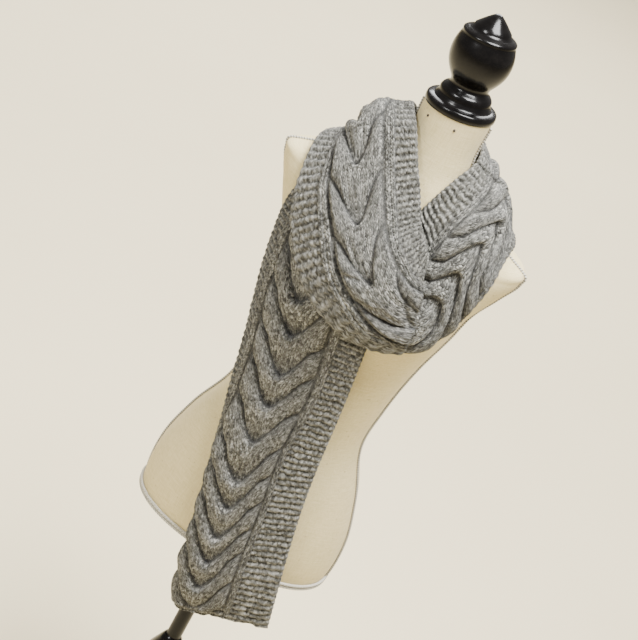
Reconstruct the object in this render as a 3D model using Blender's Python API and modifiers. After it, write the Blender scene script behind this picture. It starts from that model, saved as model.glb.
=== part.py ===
"""Knit scarf wound once round a dress form, with the form's finial, pole and tripod stand.

Units are metres and +Z is up.  The form faces -Y.  The floor is z = 0, and the middle of the
object's footprint is the origin, so the form's own upright axis stands at y = FORM_AXIS_Y.
Every table below is written about that upright axis.
"""
import math

import bmesh
import bpy
import numpy as np
from mathutils import Vector
from mathutils.bvhtree import BVHTree

OBJECT_NAME = "knit_scarf_on_dress_form"

# ---------------------------------------------------------------- heights and driving sizes
HEM_HEIGHT = 0.600
TORSO_HEIGHT = 0.750
NECK_TOP = HEM_HEIGHT + TORSO_HEIGHT
FINIAL_LEAN = math.radians(5.3)
LEG_REACH = 0.290
FOOT_RADIUS = 0.020
FOOT_HEIGHT = 0.012
FORM_AXIS_Y = -(LEG_REACH - LEG_REACH * math.sin(math.radians(30.0))) / 2.0
SEAM_GAP = 0.0003

# Torso cross-sections: height above the hem, half width, depth in front of the axis,
# depth behind it, and squareness (2 is an ellipse).
TORSO_SECTIONS = (
    # height, half_width, front, back, squareness
    (0.000, 0.156, 0.098, 0.106, 2.2),
    (0.030, 0.159, 0.102, 0.114, 2.2),
    (0.080, 0.157, 0.101, 0.119, 2.2),
    (0.150, 0.139, 0.095, 0.108, 2.2),
    (0.237, 0.107, 0.086, 0.080, 2.1),
    (0.300, 0.110, 0.090, 0.078, 2.1),
    (0.385, 0.123, 0.104, 0.088, 2.1),
    (0.455, 0.141, 0.124, 0.098, 2.1),
    (0.500, 0.151, 0.118, 0.103, 2.1),
    (0.545, 0.172, 0.100, 0.104, 2.1),
    (0.580, 0.187, 0.082, 0.098, 2.1),
    (0.592, 0.187, 0.076, 0.094, 2.1),
    (0.604, 0.160, 0.069, 0.087, 2.1),
    (0.620, 0.120, 0.061, 0.077, 2.0),
    (0.638, 0.085, 0.056, 0.066, 2.0),
    (0.660, 0.060, 0.051, 0.056, 2.0),
    (0.690, 0.050, 0.048, 0.049, 2.0),
    (0.750, 0.048, 0.048, 0.048, 2.0),
)
TORSO_COLUMNS = 36
TORSO_RING_STEP = 0.030

# ---------------------------------------------------------------- the scarf
# One row for each section across the strip, from the front tail's end to the back tail's end.
# neck = the edge that lies nearest the neck, fold = the line where the outer border turns
# away, edge = the outer border's own edge, crown = how far the middle stands proud.
LOWER_SECTIONS = (
    # neck x, y, z,             fold x, y, z,              edge x, y, z,              crown
    ((0.128, -0.106, 0.552), (-0.003, -0.110, 0.504), (0.004, -0.094, 0.506), 0.004),
    ((0.115, -0.110, 0.616), (-0.018, -0.118, 0.566), (-0.020, -0.108, 0.570), 0.006),
    ((0.098, -0.106, 0.693), (-0.032, -0.118, 0.640), (-0.038, -0.109, 0.644), 0.008),
    ((0.085, -0.104, 0.764), (-0.046, -0.112, 0.717), (-0.054, -0.097, 0.720), 0.010),
    ((0.076, -0.102, 0.833), (-0.062, -0.106, 0.790), (-0.072, -0.088, 0.793), 0.012),
    ((0.070, -0.104, 0.903), (-0.076, -0.098, 0.866), (-0.090, -0.081, 0.868), 0.012),
    ((0.064, -0.110, 0.970), (-0.088, -0.094, 0.935), (-0.104, -0.074, 0.938), 0.010),
    ((0.058, -0.118, 1.030), (-0.102, -0.090, 1.003), (-0.121, -0.066, 1.006), 0.008),
    ((0.050, -0.122, 1.088), (-0.114, -0.082, 1.062), (-0.133, -0.062, 1.066), 0.006),
    ((0.028, -0.104, 1.150), (-0.117, -0.074, 1.125), (-0.136, -0.058, 1.128), 0.004),
    ((-0.004, -0.074, 1.210), (-0.111, -0.060, 1.176), (-0.127, -0.048, 1.176), 0.002),
    ((-0.034, -0.050, 1.252), (-0.107, -0.032, 1.214), (-0.122, -0.026, 1.208), 0.000),
    ((-0.052, -0.012, 1.286), (-0.106, 0.006, 1.224), (-0.123, 0.010, 1.214), 0.000),
    ((-0.050, 0.026, 1.304), (-0.096, 0.050, 1.222), (-0.113, 0.058, 1.206), 0.000),
    ((-0.029, 0.048, 1.314), (-0.070, 0.082, 1.210), (-0.087, 0.092, 1.184), 0.004),
    ((0.000, 0.056, 1.320), (0.000, 0.094, 1.204), (0.000, 0.106, 1.172), 0.006),
    ((0.029, 0.048, 1.318), (0.070, 0.080, 1.208), (0.090, 0.092, 1.182), 0.004),
    ((0.047, 0.024, 1.310), (0.106, 0.048, 1.232), (0.132, 0.056, 1.210), 0.004),
    ((0.053, -0.006, 1.298), (0.128, 0.014, 1.234), (0.150, 0.020, 1.214), 0.012),
    ((0.044, -0.034, 1.276), (0.138, -0.028, 1.216), (0.153, -0.014, 1.208), 0.017),
    ((0.036, -0.048, 1.252), (0.145, -0.066, 1.186), (0.154, -0.052, 1.188), 0.019),
    ((0.028, -0.060, 1.228), (0.140, -0.078, 1.148), (0.148, -0.062, 1.148), 0.018),
    ((0.022, -0.070, 1.206), (0.130, -0.090, 1.110), (0.136, -0.074, 1.106), 0.016),
    ((0.020, -0.082, 1.184), (0.116, -0.106, 1.080), (0.118, -0.094, 1.072), 0.016),
    ((0.024, -0.090, 1.166), (0.088, -0.118, 1.060), (0.088, -0.110, 1.050), 0.014),
)
# The upper layer starts at the crease under which the lower layer's end is tucked.
UPPER_SECTIONS = (
    # neck x, y, z,             fold x, y, z,              edge x, y, z,              crown
    ((0.064, -0.106, 1.186), (0.100, -0.130, 1.066), (0.101, -0.122, 1.053), 0.014),
    ((0.062, -0.106, 1.194), (0.056, -0.140, 1.055), (0.053, -0.132, 1.042), 0.016),
    ((0.058, -0.104, 1.202), (0.014, -0.148, 1.064), (0.010, -0.142, 1.048), 0.016),
    ((0.051, -0.099, 1.207), (-0.020, -0.146, 1.084), (-0.028, -0.142, 1.060), 0.016),
    ((0.041, -0.088, 1.213), (-0.046, -0.138, 1.108), (-0.066, -0.132, 1.080), 0.014),
    ((0.026, -0.076, 1.230), (-0.072, -0.122, 1.142), (-0.098, -0.114, 1.110), 0.012),
    ((0.011, -0.067, 1.252), (-0.092, -0.106, 1.170), (-0.120, -0.098, 1.138), 0.010),
    ((-0.004, -0.060, 1.272), (-0.106, -0.090, 1.194), (-0.134, -0.082, 1.168), 0.008),
    ((-0.018, -0.054, 1.294), (-0.114, -0.066, 1.216), (-0.142, -0.060, 1.196), 0.009),
    ((-0.032, -0.045, 1.314), (-0.120, -0.034, 1.229), (-0.149, -0.026, 1.212), 0.013),
    ((-0.052, -0.008, 1.322), (-0.120, 0.020, 1.234), (-0.148, 0.028, 1.214), 0.016),
    ((-0.056, 0.036, 1.308), (-0.112, 0.074, 1.220), (-0.136, 0.084, 1.194), 0.012),
    ((-0.038, 0.078, 1.278), (-0.106, 0.108, 1.186), (-0.124, 0.112, 1.160), 0.008),
    ((-0.012, 0.106, 1.232), (-0.102, 0.120, 1.146), (-0.120, 0.118, 1.122), 0.004),
    ((0.008, 0.116, 1.174), (-0.098, 0.118, 1.096), (-0.116, 0.112, 1.076), 0.004),
    ((0.020, 0.114, 1.106), (-0.094, 0.110, 1.040), (-0.112, 0.102, 1.026), 0.004),
    ((0.030, 0.106, 1.040), (-0.088, 0.102, 0.984), (-0.106, 0.094, 0.972), 0.004),
    ((0.037, 0.098, 0.970), (-0.082, 0.096, 0.922), (-0.100, 0.089, 0.912), 0.004),
    ((0.042, 0.096, 0.904), (-0.076, 0.094, 0.862), (-0.094, 0.088, 0.854), 0.002),
)
# What is laid down in turn.  Each run: its table, then each stretch's name, first and last
# section, then what it lies on.
SCARF_RUNS = (
    (LOWER_SECTIONS, (("front_tail", 0, 12), ("nape_wrap", 12, 18)), ("torso",)),
    (LOWER_SECTIONS, (("chest_left", 18, 24),), ("torso", "front_tail")),
    (UPPER_SECTIONS, (("chest_right", 0, 9), ("back_tail", 9, 17)),
     ("torso", "front_tail", "nape_wrap", "chest_left")),
)
FREE_STARTS = ("front_tail", "chest_right")
FREE_ENDS = ("chest_left", "back_tail")
SEAM_SHARE = 0.03
SECTION_SPACING = 0.018
STRIP_COLUMNS = 12
SECTION_POINTS = 60
BORDER_SHARE = 0.22
BORDER_WALL = 0.008
CABLE_WALL = 0.012
CLOTH_CLEARANCE = 0.0030
DRAPE_PASSES = 6
DRAPE_REACH = 0.200

# ---------------------------------------------------------------- turned wood
# Finial profile from its lower rim up: radius, height above the neck.
FINIAL_PROFILE = (
    (0.000, 0.000), (0.049, 0.000), (0.050, 0.002), (0.050, 0.009), (0.048, 0.011),
    (0.040, 0.012), (0.039, 0.016), (0.036, 0.019), (0.0365, 0.024), (0.034, 0.029),
    (0.028, 0.032), (0.027, 0.038), (0.030, 0.044), (0.0375, 0.055), (0.0425, 0.067),
    (0.0435, 0.079), (0.0425, 0.090), (0.039, 0.102), (0.037, 0.107), (0.0375, 0.110),
    (0.034, 0.113), (0.0265, 0.118), (0.025, 0.121), (0.014, 0.134), (0.004, 0.1405), (0.000, 0.141),
)
# Hub profile from the top down: radius, height above the floor.
HUB_PROFILE = (
    (0.0125, 0.374), (0.018, 0.373), (0.026, 0.366), (0.036, 0.354), (0.044, 0.338),
    (0.048, 0.320), (0.046, 0.302), (0.038, 0.288), (0.035, 0.276), (0.040, 0.262),
    (0.040, 0.184), (0.034, 0.170), (0.022, 0.160), (0.010, 0.156), (0.000, 0.155),
)
TURNING_STEPS = 32
POLE_RADIUS = 0.012
POLE_FOOT = 0.300
HUB_BORE = 0.0125
# Leg route from the hub outwards: distance from the pole, height, radius.
LEG_ROUTE = (
    (0.0405, 0.226, 0.0130), (0.052, 0.226, 0.0130), (0.076, 0.228, 0.0130), (0.105, 0.226, 0.0128),
    (0.145, 0.204, 0.0124), (0.182, 0.166, 0.0118), (0.214, 0.120, 0.0112), (0.242, 0.074, 0.0106),
    (0.266, 0.040, 0.0104), (0.282, 0.027, 0.0104), (0.290, 0.019, 0.0110), (0.290, 0.0123, 0.0115),
)
LEG_ANGLES = (90.0, 210.0, 330.0)
BRAID_RADIUS = 0.0032
PIPING_RADIUS = 0.0016

# name: (red, green, blue), roughness, metallic
MATERIALS = {
    "knit": ((0.30, 0.29, 0.30), 0.95, 0.0),
    "canvas": ((0.78, 0.72, 0.56), 0.85, 0.0),
    "braid": ((0.80, 0.78, 0.70), 0.80, 0.0),
    "black_wood": ((0.012, 0.011, 0.010), 0.25, 0.0),
    "black_metal": ((0.015, 0.015, 0.015), 0.35, 0.6),
}


# ---------------------------------------------------------------- scene and materials
def clear_scene():
    for existing in list(bpy.data.objects):
        bpy.data.objects.remove(existing, do_unlink=True)


def make_collection():
    collection = bpy.data.collections.new(OBJECT_NAME)
    bpy.context.scene.collection.children.link(collection)
    return collection


def make_material(name):
    colour, roughness, metallic = MATERIALS[name]
    material = bpy.data.materials.new(name)
    material.use_nodes = True
    shader = material.node_tree.nodes["Principled BSDF"]
    shader.inputs["Base Color"].default_value = (*colour, 1.0)
    shader.inputs["Roughness"].default_value = roughness
    shader.inputs["Metallic"].default_value = metallic
    return material


def add_object(name, data, collection, material):
    made = bpy.data.objects.new(name, data)
    data.materials.append(material)
    made.location = (0.0, FORM_AXIS_Y, 0.0)
    collection.objects.link(made)
    return made


# ---------------------------------------------------------------- interpolation
def through(stations, values, at):
    """Smooth curve through rows of values, read at the given stations."""
    stations = np.asarray(stations, float)
    values = np.asarray(values, float)
    at = np.clip(np.asarray(at, float), stations[0], stations[-1])
    slopes = np.gradient(values, stations, axis=0)
    index = np.clip(np.searchsorted(stations, at, side="right") - 1, 0, len(stations) - 2)
    span = stations[index + 1] - stations[index]
    part = (at - stations[index]) / span
    shape = (-1,) + (1,) * (values.ndim - 1)
    part, span = part.reshape(shape), span.reshape(shape)
    start, end = values[index], values[index + 1]
    start_slope, end_slope = slopes[index] * span, slopes[index + 1] * span
    rest = 1.0 - part
    return (
        (1.0 + 2.0 * part) * rest ** 2 * start
        + part * rest ** 2 * start_slope
        + part ** 2 * (3.0 - 2.0 * part) * end
        - part ** 2 * rest * end_slope
    )


def lengths_along(points):
    steps = np.linalg.norm(np.diff(points, axis=0), axis=1)
    return np.concatenate([[0.0], np.cumsum(steps)])


def unit(vectors):
    return vectors / np.maximum(np.linalg.norm(vectors, axis=-1, keepdims=True), 1e-9)


# ---------------------------------------------------------------- the dress form's torso
def torso_section(height):
    """Half width, front depth, back depth and squareness at a height above the hem."""
    table = np.array(TORSO_SECTIONS)
    return through(table[:, 0], table[:, 1:], np.atleast_1d(height))


def torso_points(height, angles, grow=0.0):
    """Points round one level of the torso.  Angle 0 is the front, and 90 degrees is +X."""
    half_width, front, back, squareness = torso_section(height)[0]
    side, ahead = np.sin(angles), np.cos(angles)
    depth = np.where(ahead > 0.0, front, back) + grow
    reach = (np.abs(side) / (half_width + grow)) ** squareness + (np.abs(ahead) / depth) ** squareness
    radius = reach ** (-1.0 / squareness)
    lift = np.clip((height / TORSO_HEIGHT - 0.92) / 0.08, 0.0, 1.0) * math.sin(FINIAL_LEAN)
    x = radius * side
    return np.stack([x, -radius * ahead, HEM_HEIGHT + height + x * lift], axis=1)


def torso_normals(points):
    """Outward direction of the torso's surface nearest each point, from its level's outline."""

    def excess(where):
        section = torso_section(where[:, 2] - HEM_HEIGHT)
        depth = np.where(where[:, 1] < 0.0, section[:, 1], section[:, 2])
        power = section[:, 3]
        total = (np.abs(where[:, 0]) / section[:, 0]) ** power + (np.abs(where[:, 1]) / depth) ** power
        return total ** (1.0 / power)

    small = 0.004
    slope = [excess(points + small * axis) - excess(points - small * axis) for axis in np.eye(3)]
    return unit(np.stack(slope, axis=1))


def torso_heights():
    """Levels of the torso's rings: even steps, with closer ones over the shoulders."""
    levels = list(np.arange(0.0, 0.545, TORSO_RING_STEP))
    levels += [0.560, 0.580, 0.592, 0.600, 0.608, 0.620, 0.636, 0.656, 0.680, 0.715]
    levels.append(TORSO_HEIGHT)
    return levels


def loft(name, rings):
    """Closed solid through rings that hold the same number of points, with flat ends."""
    mesh = bpy.data.meshes.new(name)
    shape = bmesh.new()
    loops = [[shape.verts.new(point) for point in ring] for ring in rings]
    count = len(loops[0])
    for lower, upper in zip(loops, loops[1:]):
        for here in range(count):
            after = (here + 1) % count
            shape.faces.new((lower[here], lower[after], upper[after], upper[here]))
    shape.faces.new(list(reversed(loops[0])))
    shape.faces.new(loops[-1])
    bmesh.ops.recalc_face_normals(shape, faces=shape.faces)
    shape.to_mesh(mesh)
    shape.free()
    return mesh


def build_torso(collection, material):
    angles = np.linspace(0.0, 2.0 * math.pi, TORSO_COLUMNS, endpoint=False)
    rings = [torso_points(height, angles) for height in torso_heights()]
    mesh = loft("torso", rings)
    mesh.shade_smooth()
    add_object("torso", mesh, collection, material)
    return mesh


# ---------------------------------------------------------------- the scarf's surface
def section_stations(table):
    """Distance along the strip's middle at which each table row lies."""
    return lengths_along(np.array([(np.array(neck) + np.array(fold)) / 2.0 for neck, fold, _, _ in table]))


def run_stations(table, stretches):
    """Stations of one run's sections, and the section index at which each stretch ends."""
    stations = section_stations(table)
    at = [stations[stretches[0][1]]]
    ends = []
    for _, first, last in stretches:
        count = int(round((stations[last] - stations[first]) / SECTION_SPACING))
        at.extend(np.linspace(stations[first], stations[last], count + 1)[1:])
        ends.append(len(at) - 1)
    return np.array(at), ends


def strip_grid(table, at, columns):
    """Inner face of the strip: an array of sections, each with points from neck to edge."""
    stations = section_stations(table)
    neck, fold, edge, crown = (through(stations, [row[part] for row in table], at) for part in range(4))
    along = unit(np.gradient(neck + fold, axis=0))
    outward = unit(np.cross(along, fold - neck))
    middle = (neck + fold) / 2.0 + outward * crown[:, None]
    grid = []
    for here in range(len(at)):
        control = np.stack([neck[here], middle[here], fold[here], edge[here]])
        reach = lengths_along(control)
        fine = through(reach, control, np.linspace(0.0, reach[-1], SECTION_POINTS))
        spread = lengths_along(fine)
        grid.append(through(spread, fine, np.linspace(0.0, spread[-1], columns + 1)))
    return np.array(grid)


def grid_normals(grid):
    """Outward unit normals of a strip's grid."""
    along = np.gradient(grid, axis=0)
    across = np.gradient(grid, axis=1)
    return unit(np.cross(along, across))


def blurred(field):
    """A grid of values, each averaged with its neighbours."""
    padded = np.pad(field, ((1, 1), (1, 1)), mode="edge")
    return (
        padded[:-2, 1:-1] + padded[2:, 1:-1] + padded[1:-1, :-2] + padded[1:-1, 2:] + 4.0 * field
    ) / 8.0


def drape(grid, underneath):
    """Lift a strip's inner face clear of everything that it lies on."""
    outward = torso_normals(grid.reshape(-1, 3)).reshape(grid.shape)
    lift = np.zeros(grid.shape[:2])
    for _ in range(DRAPE_PASSES):
        for row, column in np.ndindex(lift.shape):
            point = Vector(grid[row, column] + outward[row, column] * lift[row, column])
            away = Vector(outward[row, column])
            highest = None
            for tree in underneath:
                hit = tree.ray_cast(point + away * DRAPE_REACH, -away, 2.0 * DRAPE_REACH)[0]
                if hit is not None:
                    height = (hit - point).dot(away)
                    highest = height if highest is None else max(highest, height)
            if highest is not None and highest + CLOTH_CLEARANCE > 0.0:
                lift[row, column] += highest + CLOTH_CLEARANCE
        lift = np.maximum(lift, blurred(lift))
    return grid + outward * lift[..., None]


def wall_thickness(columns):
    """Wall thickness across the strip: thin garter borders and a thick cable panel."""
    share = np.linspace(0.0, 1.0, columns + 1)
    inside = np.minimum(share, 1.0 - share) / BORDER_SHARE
    blend = np.clip(inside, 0.0, 1.0)
    return BORDER_WALL + (CABLE_WALL - BORDER_WALL) * blend * blend * (3.0 - 2.0 * blend)


def strip_solid(name, inner, outer):
    """Closed wall between a strip's inner and outer faces."""
    columns = inner.shape[1]
    mesh = bpy.data.meshes.new(name)
    shape = bmesh.new()
    under = [[shape.verts.new(point) for point in section] for section in inner]
    over = [[shape.verts.new(point) for point in section] for section in outer]
    for here in range(len(under) - 1):
        for face, turn in ((under, False), (over, True)):
            for column in range(columns - 1):
                corners = (face[here][column], face[here][column + 1],
                           face[here + 1][column + 1], face[here + 1][column])
                shape.faces.new(corners[::-1] if turn else corners)
        for column in (0, columns - 1):
            shape.faces.new((under[here][column], under[here + 1][column],
                             over[here + 1][column], over[here][column]))
    for end in (0, -1):
        for column in range(columns - 1):
            shape.faces.new((under[end][column], under[end][column + 1],
                             over[end][column + 1], over[end][column]))
    bmesh.ops.recalc_face_normals(shape, faces=shape.faces)
    shape.to_mesh(mesh)
    shape.free()
    return mesh


def trimmed(face, start_joins, end_joins):
    """One stretch's face, drawn back a little where it meets the next stretch."""
    face = face.copy()
    if start_joins:
        face[0] += (face[1] - face[0]) * SEAM_SHARE
    if end_joins:
        face[-1] += (face[-2] - face[-1]) * SEAM_SHARE
    return face


def solid_tree(mesh):
    return BVHTree.FromPolygons([v.co for v in mesh.vertices], [tuple(p.vertices) for p in mesh.polygons])


def build_scarf(collection, material, torso_mesh):
    trees = {"torso": solid_tree(torso_mesh)}
    for table, stretches, lies_on in SCARF_RUNS:
        at, ends = run_stations(table, stretches)
        inner = drape(strip_grid(table, at, STRIP_COLUMNS), [trees[name] for name in lies_on])
        outer = inner + grid_normals(inner) * wall_thickness(STRIP_COLUMNS)[None, :, None]
        start = 0
        for (name, _, _), end in zip(stretches, ends):
            joins = (name not in FREE_STARTS, name not in FREE_ENDS)
            mesh = strip_solid(name, *(trimmed(face[start:end + 1], *joins) for face in (inner, outer)))
            mesh.shade_smooth()
            trees[name] = solid_tree(mesh)
            add_object(name, mesh, collection, material)
            start = end


# ---------------------------------------------------------------- turned and drawn pieces
def turned(name, profile, collection, material):
    """A profile at +X turned about the upright axis with a Screw modifier, top to bottom."""
    mesh = bpy.data.meshes.new(name)
    points = [(radius, 0.0, height) for radius, height in profile]
    edges = [(here, here + 1) for here in range(len(points) - 1)]
    mesh.from_pydata(points, edges, [])
    made = add_object(name, mesh, collection, material)
    screw = made.modifiers.new("turning", "SCREW")
    screw.steps = TURNING_STEPS
    screw.render_steps = TURNING_STEPS
    screw.use_merge_vertices = True
    screw.merge_threshold = 0.0001
    screw.use_smooth_shade = True
    return made


def build_finial(collection, material):
    profile = [(radius, height) for radius, height in reversed(FINIAL_PROFILE)]
    finial = turned("finial", profile, collection, material)
    finial.location = (0.0, FORM_AXIS_Y, NECK_TOP + 2.0 * SEAM_GAP)
    finial.rotation_euler = (0.0, -FINIAL_LEAN, 0.0)


def build_stand(collection, wood, metal):
    turned("hub", hub_with_bore(), collection, wood)
    pole_top = HEM_HEIGHT - SEAM_GAP
    bpy.ops.mesh.primitive_cylinder_add(
        vertices=24, radius=POLE_RADIUS, depth=pole_top - POLE_FOOT,
        location=(0.0, FORM_AXIS_Y, (pole_top + POLE_FOOT) / 2.0),
    )
    pole = bpy.context.object
    pole.name = "pole"
    pole.data.name = "pole"
    pole.data.materials.append(metal)
    move_to(pole, collection)
    for number, angle in enumerate(LEG_ANGLES, start=1):
        build_leg(number, math.radians(angle), collection, wood)


def hub_with_bore():
    """Hub outline, with the blind bore that the pole stands in."""
    floor = POLE_FOOT - SEAM_GAP
    return ((0.0, floor), (HUB_BORE, floor)) + HUB_PROFILE


def move_to(made, collection):
    for owner in list(made.users_collection):
        owner.objects.unlink(made)
    collection.objects.link(made)


def build_leg(number, angle, collection, wood):
    direction = Vector((math.cos(angle), math.sin(angle), 0.0))
    curve = bpy.data.curves.new(f"leg_{number}", "CURVE")
    curve.dimensions = "3D"
    curve.bevel_depth = 1.0
    curve.bevel_resolution = 3
    curve.use_fill_caps = True
    spline = curve.splines.new("POLY")
    spline.points.add(len(LEG_ROUTE) - 1)
    for point, (reach, height, radius) in zip(spline.points, LEG_ROUTE):
        place = direction * reach + Vector((0.0, 0.0, height))
        point.co = (*place, 1.0)
        point.radius = radius
    add_object(f"leg_{number}", curve, collection, wood)
    bpy.ops.mesh.primitive_cylinder_add(
        vertices=24, radius=FOOT_RADIUS, depth=FOOT_HEIGHT,
        location=direction * LEG_REACH + Vector((0.0, FORM_AXIS_Y, FOOT_HEIGHT / 2.0)),
    )
    foot = bpy.context.object
    foot.name = f"foot_{number}"
    foot.data.name = foot.name
    foot.data.materials.append(wood)
    move_to(foot, collection)


def tube(name, points, radius, closed, collection, material):
    curve = bpy.data.curves.new(name, "CURVE")
    curve.dimensions = "3D"
    curve.bevel_depth = radius
    curve.bevel_resolution = 1
    curve.use_fill_caps = not closed
    spline = curve.splines.new("POLY")
    spline.points.add(len(points) - 1)
    spline.use_cyclic_u = closed
    for point, place in zip(spline.points, points):
        point.co = (*place, 1.0)
    return add_object(name, curve, collection, material)


def build_trims(collection, material):
    """Braid round the hem, and the piping down each side from the shoulder point."""
    angles = np.linspace(0.0, 2.0 * math.pi, TORSO_COLUMNS, endpoint=False)
    hem = torso_points(0.004, angles, BRAID_RADIUS + 2.0 * SEAM_GAP)
    tube("hem_braid", hem, BRAID_RADIUS, True, collection, material)
    heights = [level for level in torso_heights() if 0.02 < level < 0.59]
    for name, side in (("side_piping_left", 1.0), ("side_piping_right", -1.0)):
        angle = np.array([side * math.pi / 2.0])
        route = [torso_points(level, angle, PIPING_RADIUS + 2.0 * SEAM_GAP)[0] for level in heights]
        tube(name, route, PIPING_RADIUS, False, collection, material)


def main():
    clear_scene()
    collection = make_collection()
    materials = {name: make_material(name) for name in MATERIALS}
    torso_mesh = build_torso(collection, materials["canvas"])
    build_scarf(collection, materials["knit"], torso_mesh)
    build_trims(collection, materials["braid"])
    build_finial(collection, materials["black_wood"])
    build_stand(collection, materials["black_wood"], materials["black_metal"])


main()
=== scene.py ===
"""Looks of a knit scarf wound once round a dress form, with the form's finial, pole and stand.

Units are metres and +Z is up.  The form faces -Y and +X is the wearer's left.  Tables are written
about the form's upright axis, which stands at y = AXIS_Y.
"""
from __future__ import annotations

import logging
import math
from dataclasses import dataclass, field
from enum import Enum
from typing import Iterable, Sequence

import bmesh
import bpy
import numpy as np
from mathutils import Matrix, Vector
from mathutils.bvhtree import BVHTree


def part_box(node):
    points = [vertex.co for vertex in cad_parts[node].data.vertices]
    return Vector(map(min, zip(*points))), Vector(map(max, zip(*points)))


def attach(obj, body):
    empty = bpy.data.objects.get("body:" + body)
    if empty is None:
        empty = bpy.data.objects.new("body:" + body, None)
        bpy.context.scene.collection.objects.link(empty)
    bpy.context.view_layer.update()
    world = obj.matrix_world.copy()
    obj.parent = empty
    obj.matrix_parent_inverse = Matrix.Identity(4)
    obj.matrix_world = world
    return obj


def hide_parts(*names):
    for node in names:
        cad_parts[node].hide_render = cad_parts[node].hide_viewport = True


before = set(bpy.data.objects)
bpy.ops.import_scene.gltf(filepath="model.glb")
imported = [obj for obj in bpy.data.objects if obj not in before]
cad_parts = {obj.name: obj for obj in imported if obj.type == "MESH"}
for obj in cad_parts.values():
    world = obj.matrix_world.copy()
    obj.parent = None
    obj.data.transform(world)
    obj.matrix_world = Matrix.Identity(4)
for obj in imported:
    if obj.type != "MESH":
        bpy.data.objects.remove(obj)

LOG = logging.getLogger("scarf")
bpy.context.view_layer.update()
BODY = "root"
MM = 0.001
POLE_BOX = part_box("pole")
AXIS_Y = (POLE_BOX[0].y + POLE_BOX[1].y) / 2.0
HEM_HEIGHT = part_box("torso")[0].z
TORSO_HEIGHT = 0.750
NECK_TOP = HEM_HEIGHT + TORSO_HEIGHT
FINIAL_LEAN = math.radians(5.3)
SEAM_GAP = 0.3 * MM


# ---------------------------------------------------------------- interpolation
def through(stations: np.ndarray, values: np.ndarray, at: np.ndarray) -> np.ndarray:
    """Read a smooth curve through rows of values.

    Args:
        stations: Rising position of each row.
        values: One row of numbers, or of points, for each station.
        at: Positions to read; they are held inside the stations' range.

    Returns:
        One row for each position in ``at``.
    """
    stations = np.asarray(stations, float)
    values = np.asarray(values, float)
    at = np.clip(np.asarray(at, float), stations[0], stations[-1])
    slopes = np.gradient(values, stations, axis=0)
    index = np.clip(np.searchsorted(stations, at, side="right") - 1, 0, len(stations) - 2)
    span = stations[index + 1] - stations[index]
    part = (at - stations[index]) / span
    shape = (-1,) + (1,) * (values.ndim - 1)
    part, span = part.reshape(shape), span.reshape(shape)
    start, end = values[index], values[index + 1]
    start_slope, end_slope = slopes[index] * span, slopes[index + 1] * span
    rest = 1.0 - part
    return (
        (1.0 + 2.0 * part) * rest ** 2 * start
        + part * rest ** 2 * start_slope
        + part ** 2 * (3.0 - 2.0 * part) * end
        - part ** 2 * rest * end_slope
    )


def lengths_along(points: np.ndarray) -> np.ndarray:
    """Distance along a row of points, from its first."""
    return np.concatenate([[0.0], np.cumsum(np.linalg.norm(np.diff(points, axis=0), axis=1))])


def unit(vectors: np.ndarray) -> np.ndarray:
    """Vectors scaled to length one."""
    return vectors / np.maximum(np.linalg.norm(vectors, axis=-1, keepdims=True), 1e-9)


def blurred(values: np.ndarray, times: int = 1) -> np.ndarray:
    """A grid of values, each averaged with its neighbours, a number of times over."""
    for _ in range(times):
        padded = np.pad(values, ((1, 1), (1, 1)), mode="edge")
        around = padded[:-2, 1:-1] + padded[2:, 1:-1] + padded[1:-1, :-2] + padded[1:-1, 2:]
        values = (around + 4.0 * values) / 8.0
    return values


def ripple(at: np.ndarray, seed: int, pitch: float) -> np.ndarray:
    """A slow, uneven wave between about -1 and 1, the same on every run.

    Args:
        at: Distances in metres.
        seed: Number that picks the wave.
        pitch: Main wavelength in metres.

    Returns:
        The wave's height at each distance.
    """
    total = np.zeros_like(at, dtype=float)
    for octave in range(4):
        step = 1.0 + 0.61 * octave
        total += np.sin(2.0 * math.pi * at * step / pitch + seed * (1.7 + 2.3 * octave)) / step
    return total / 2.2


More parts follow.
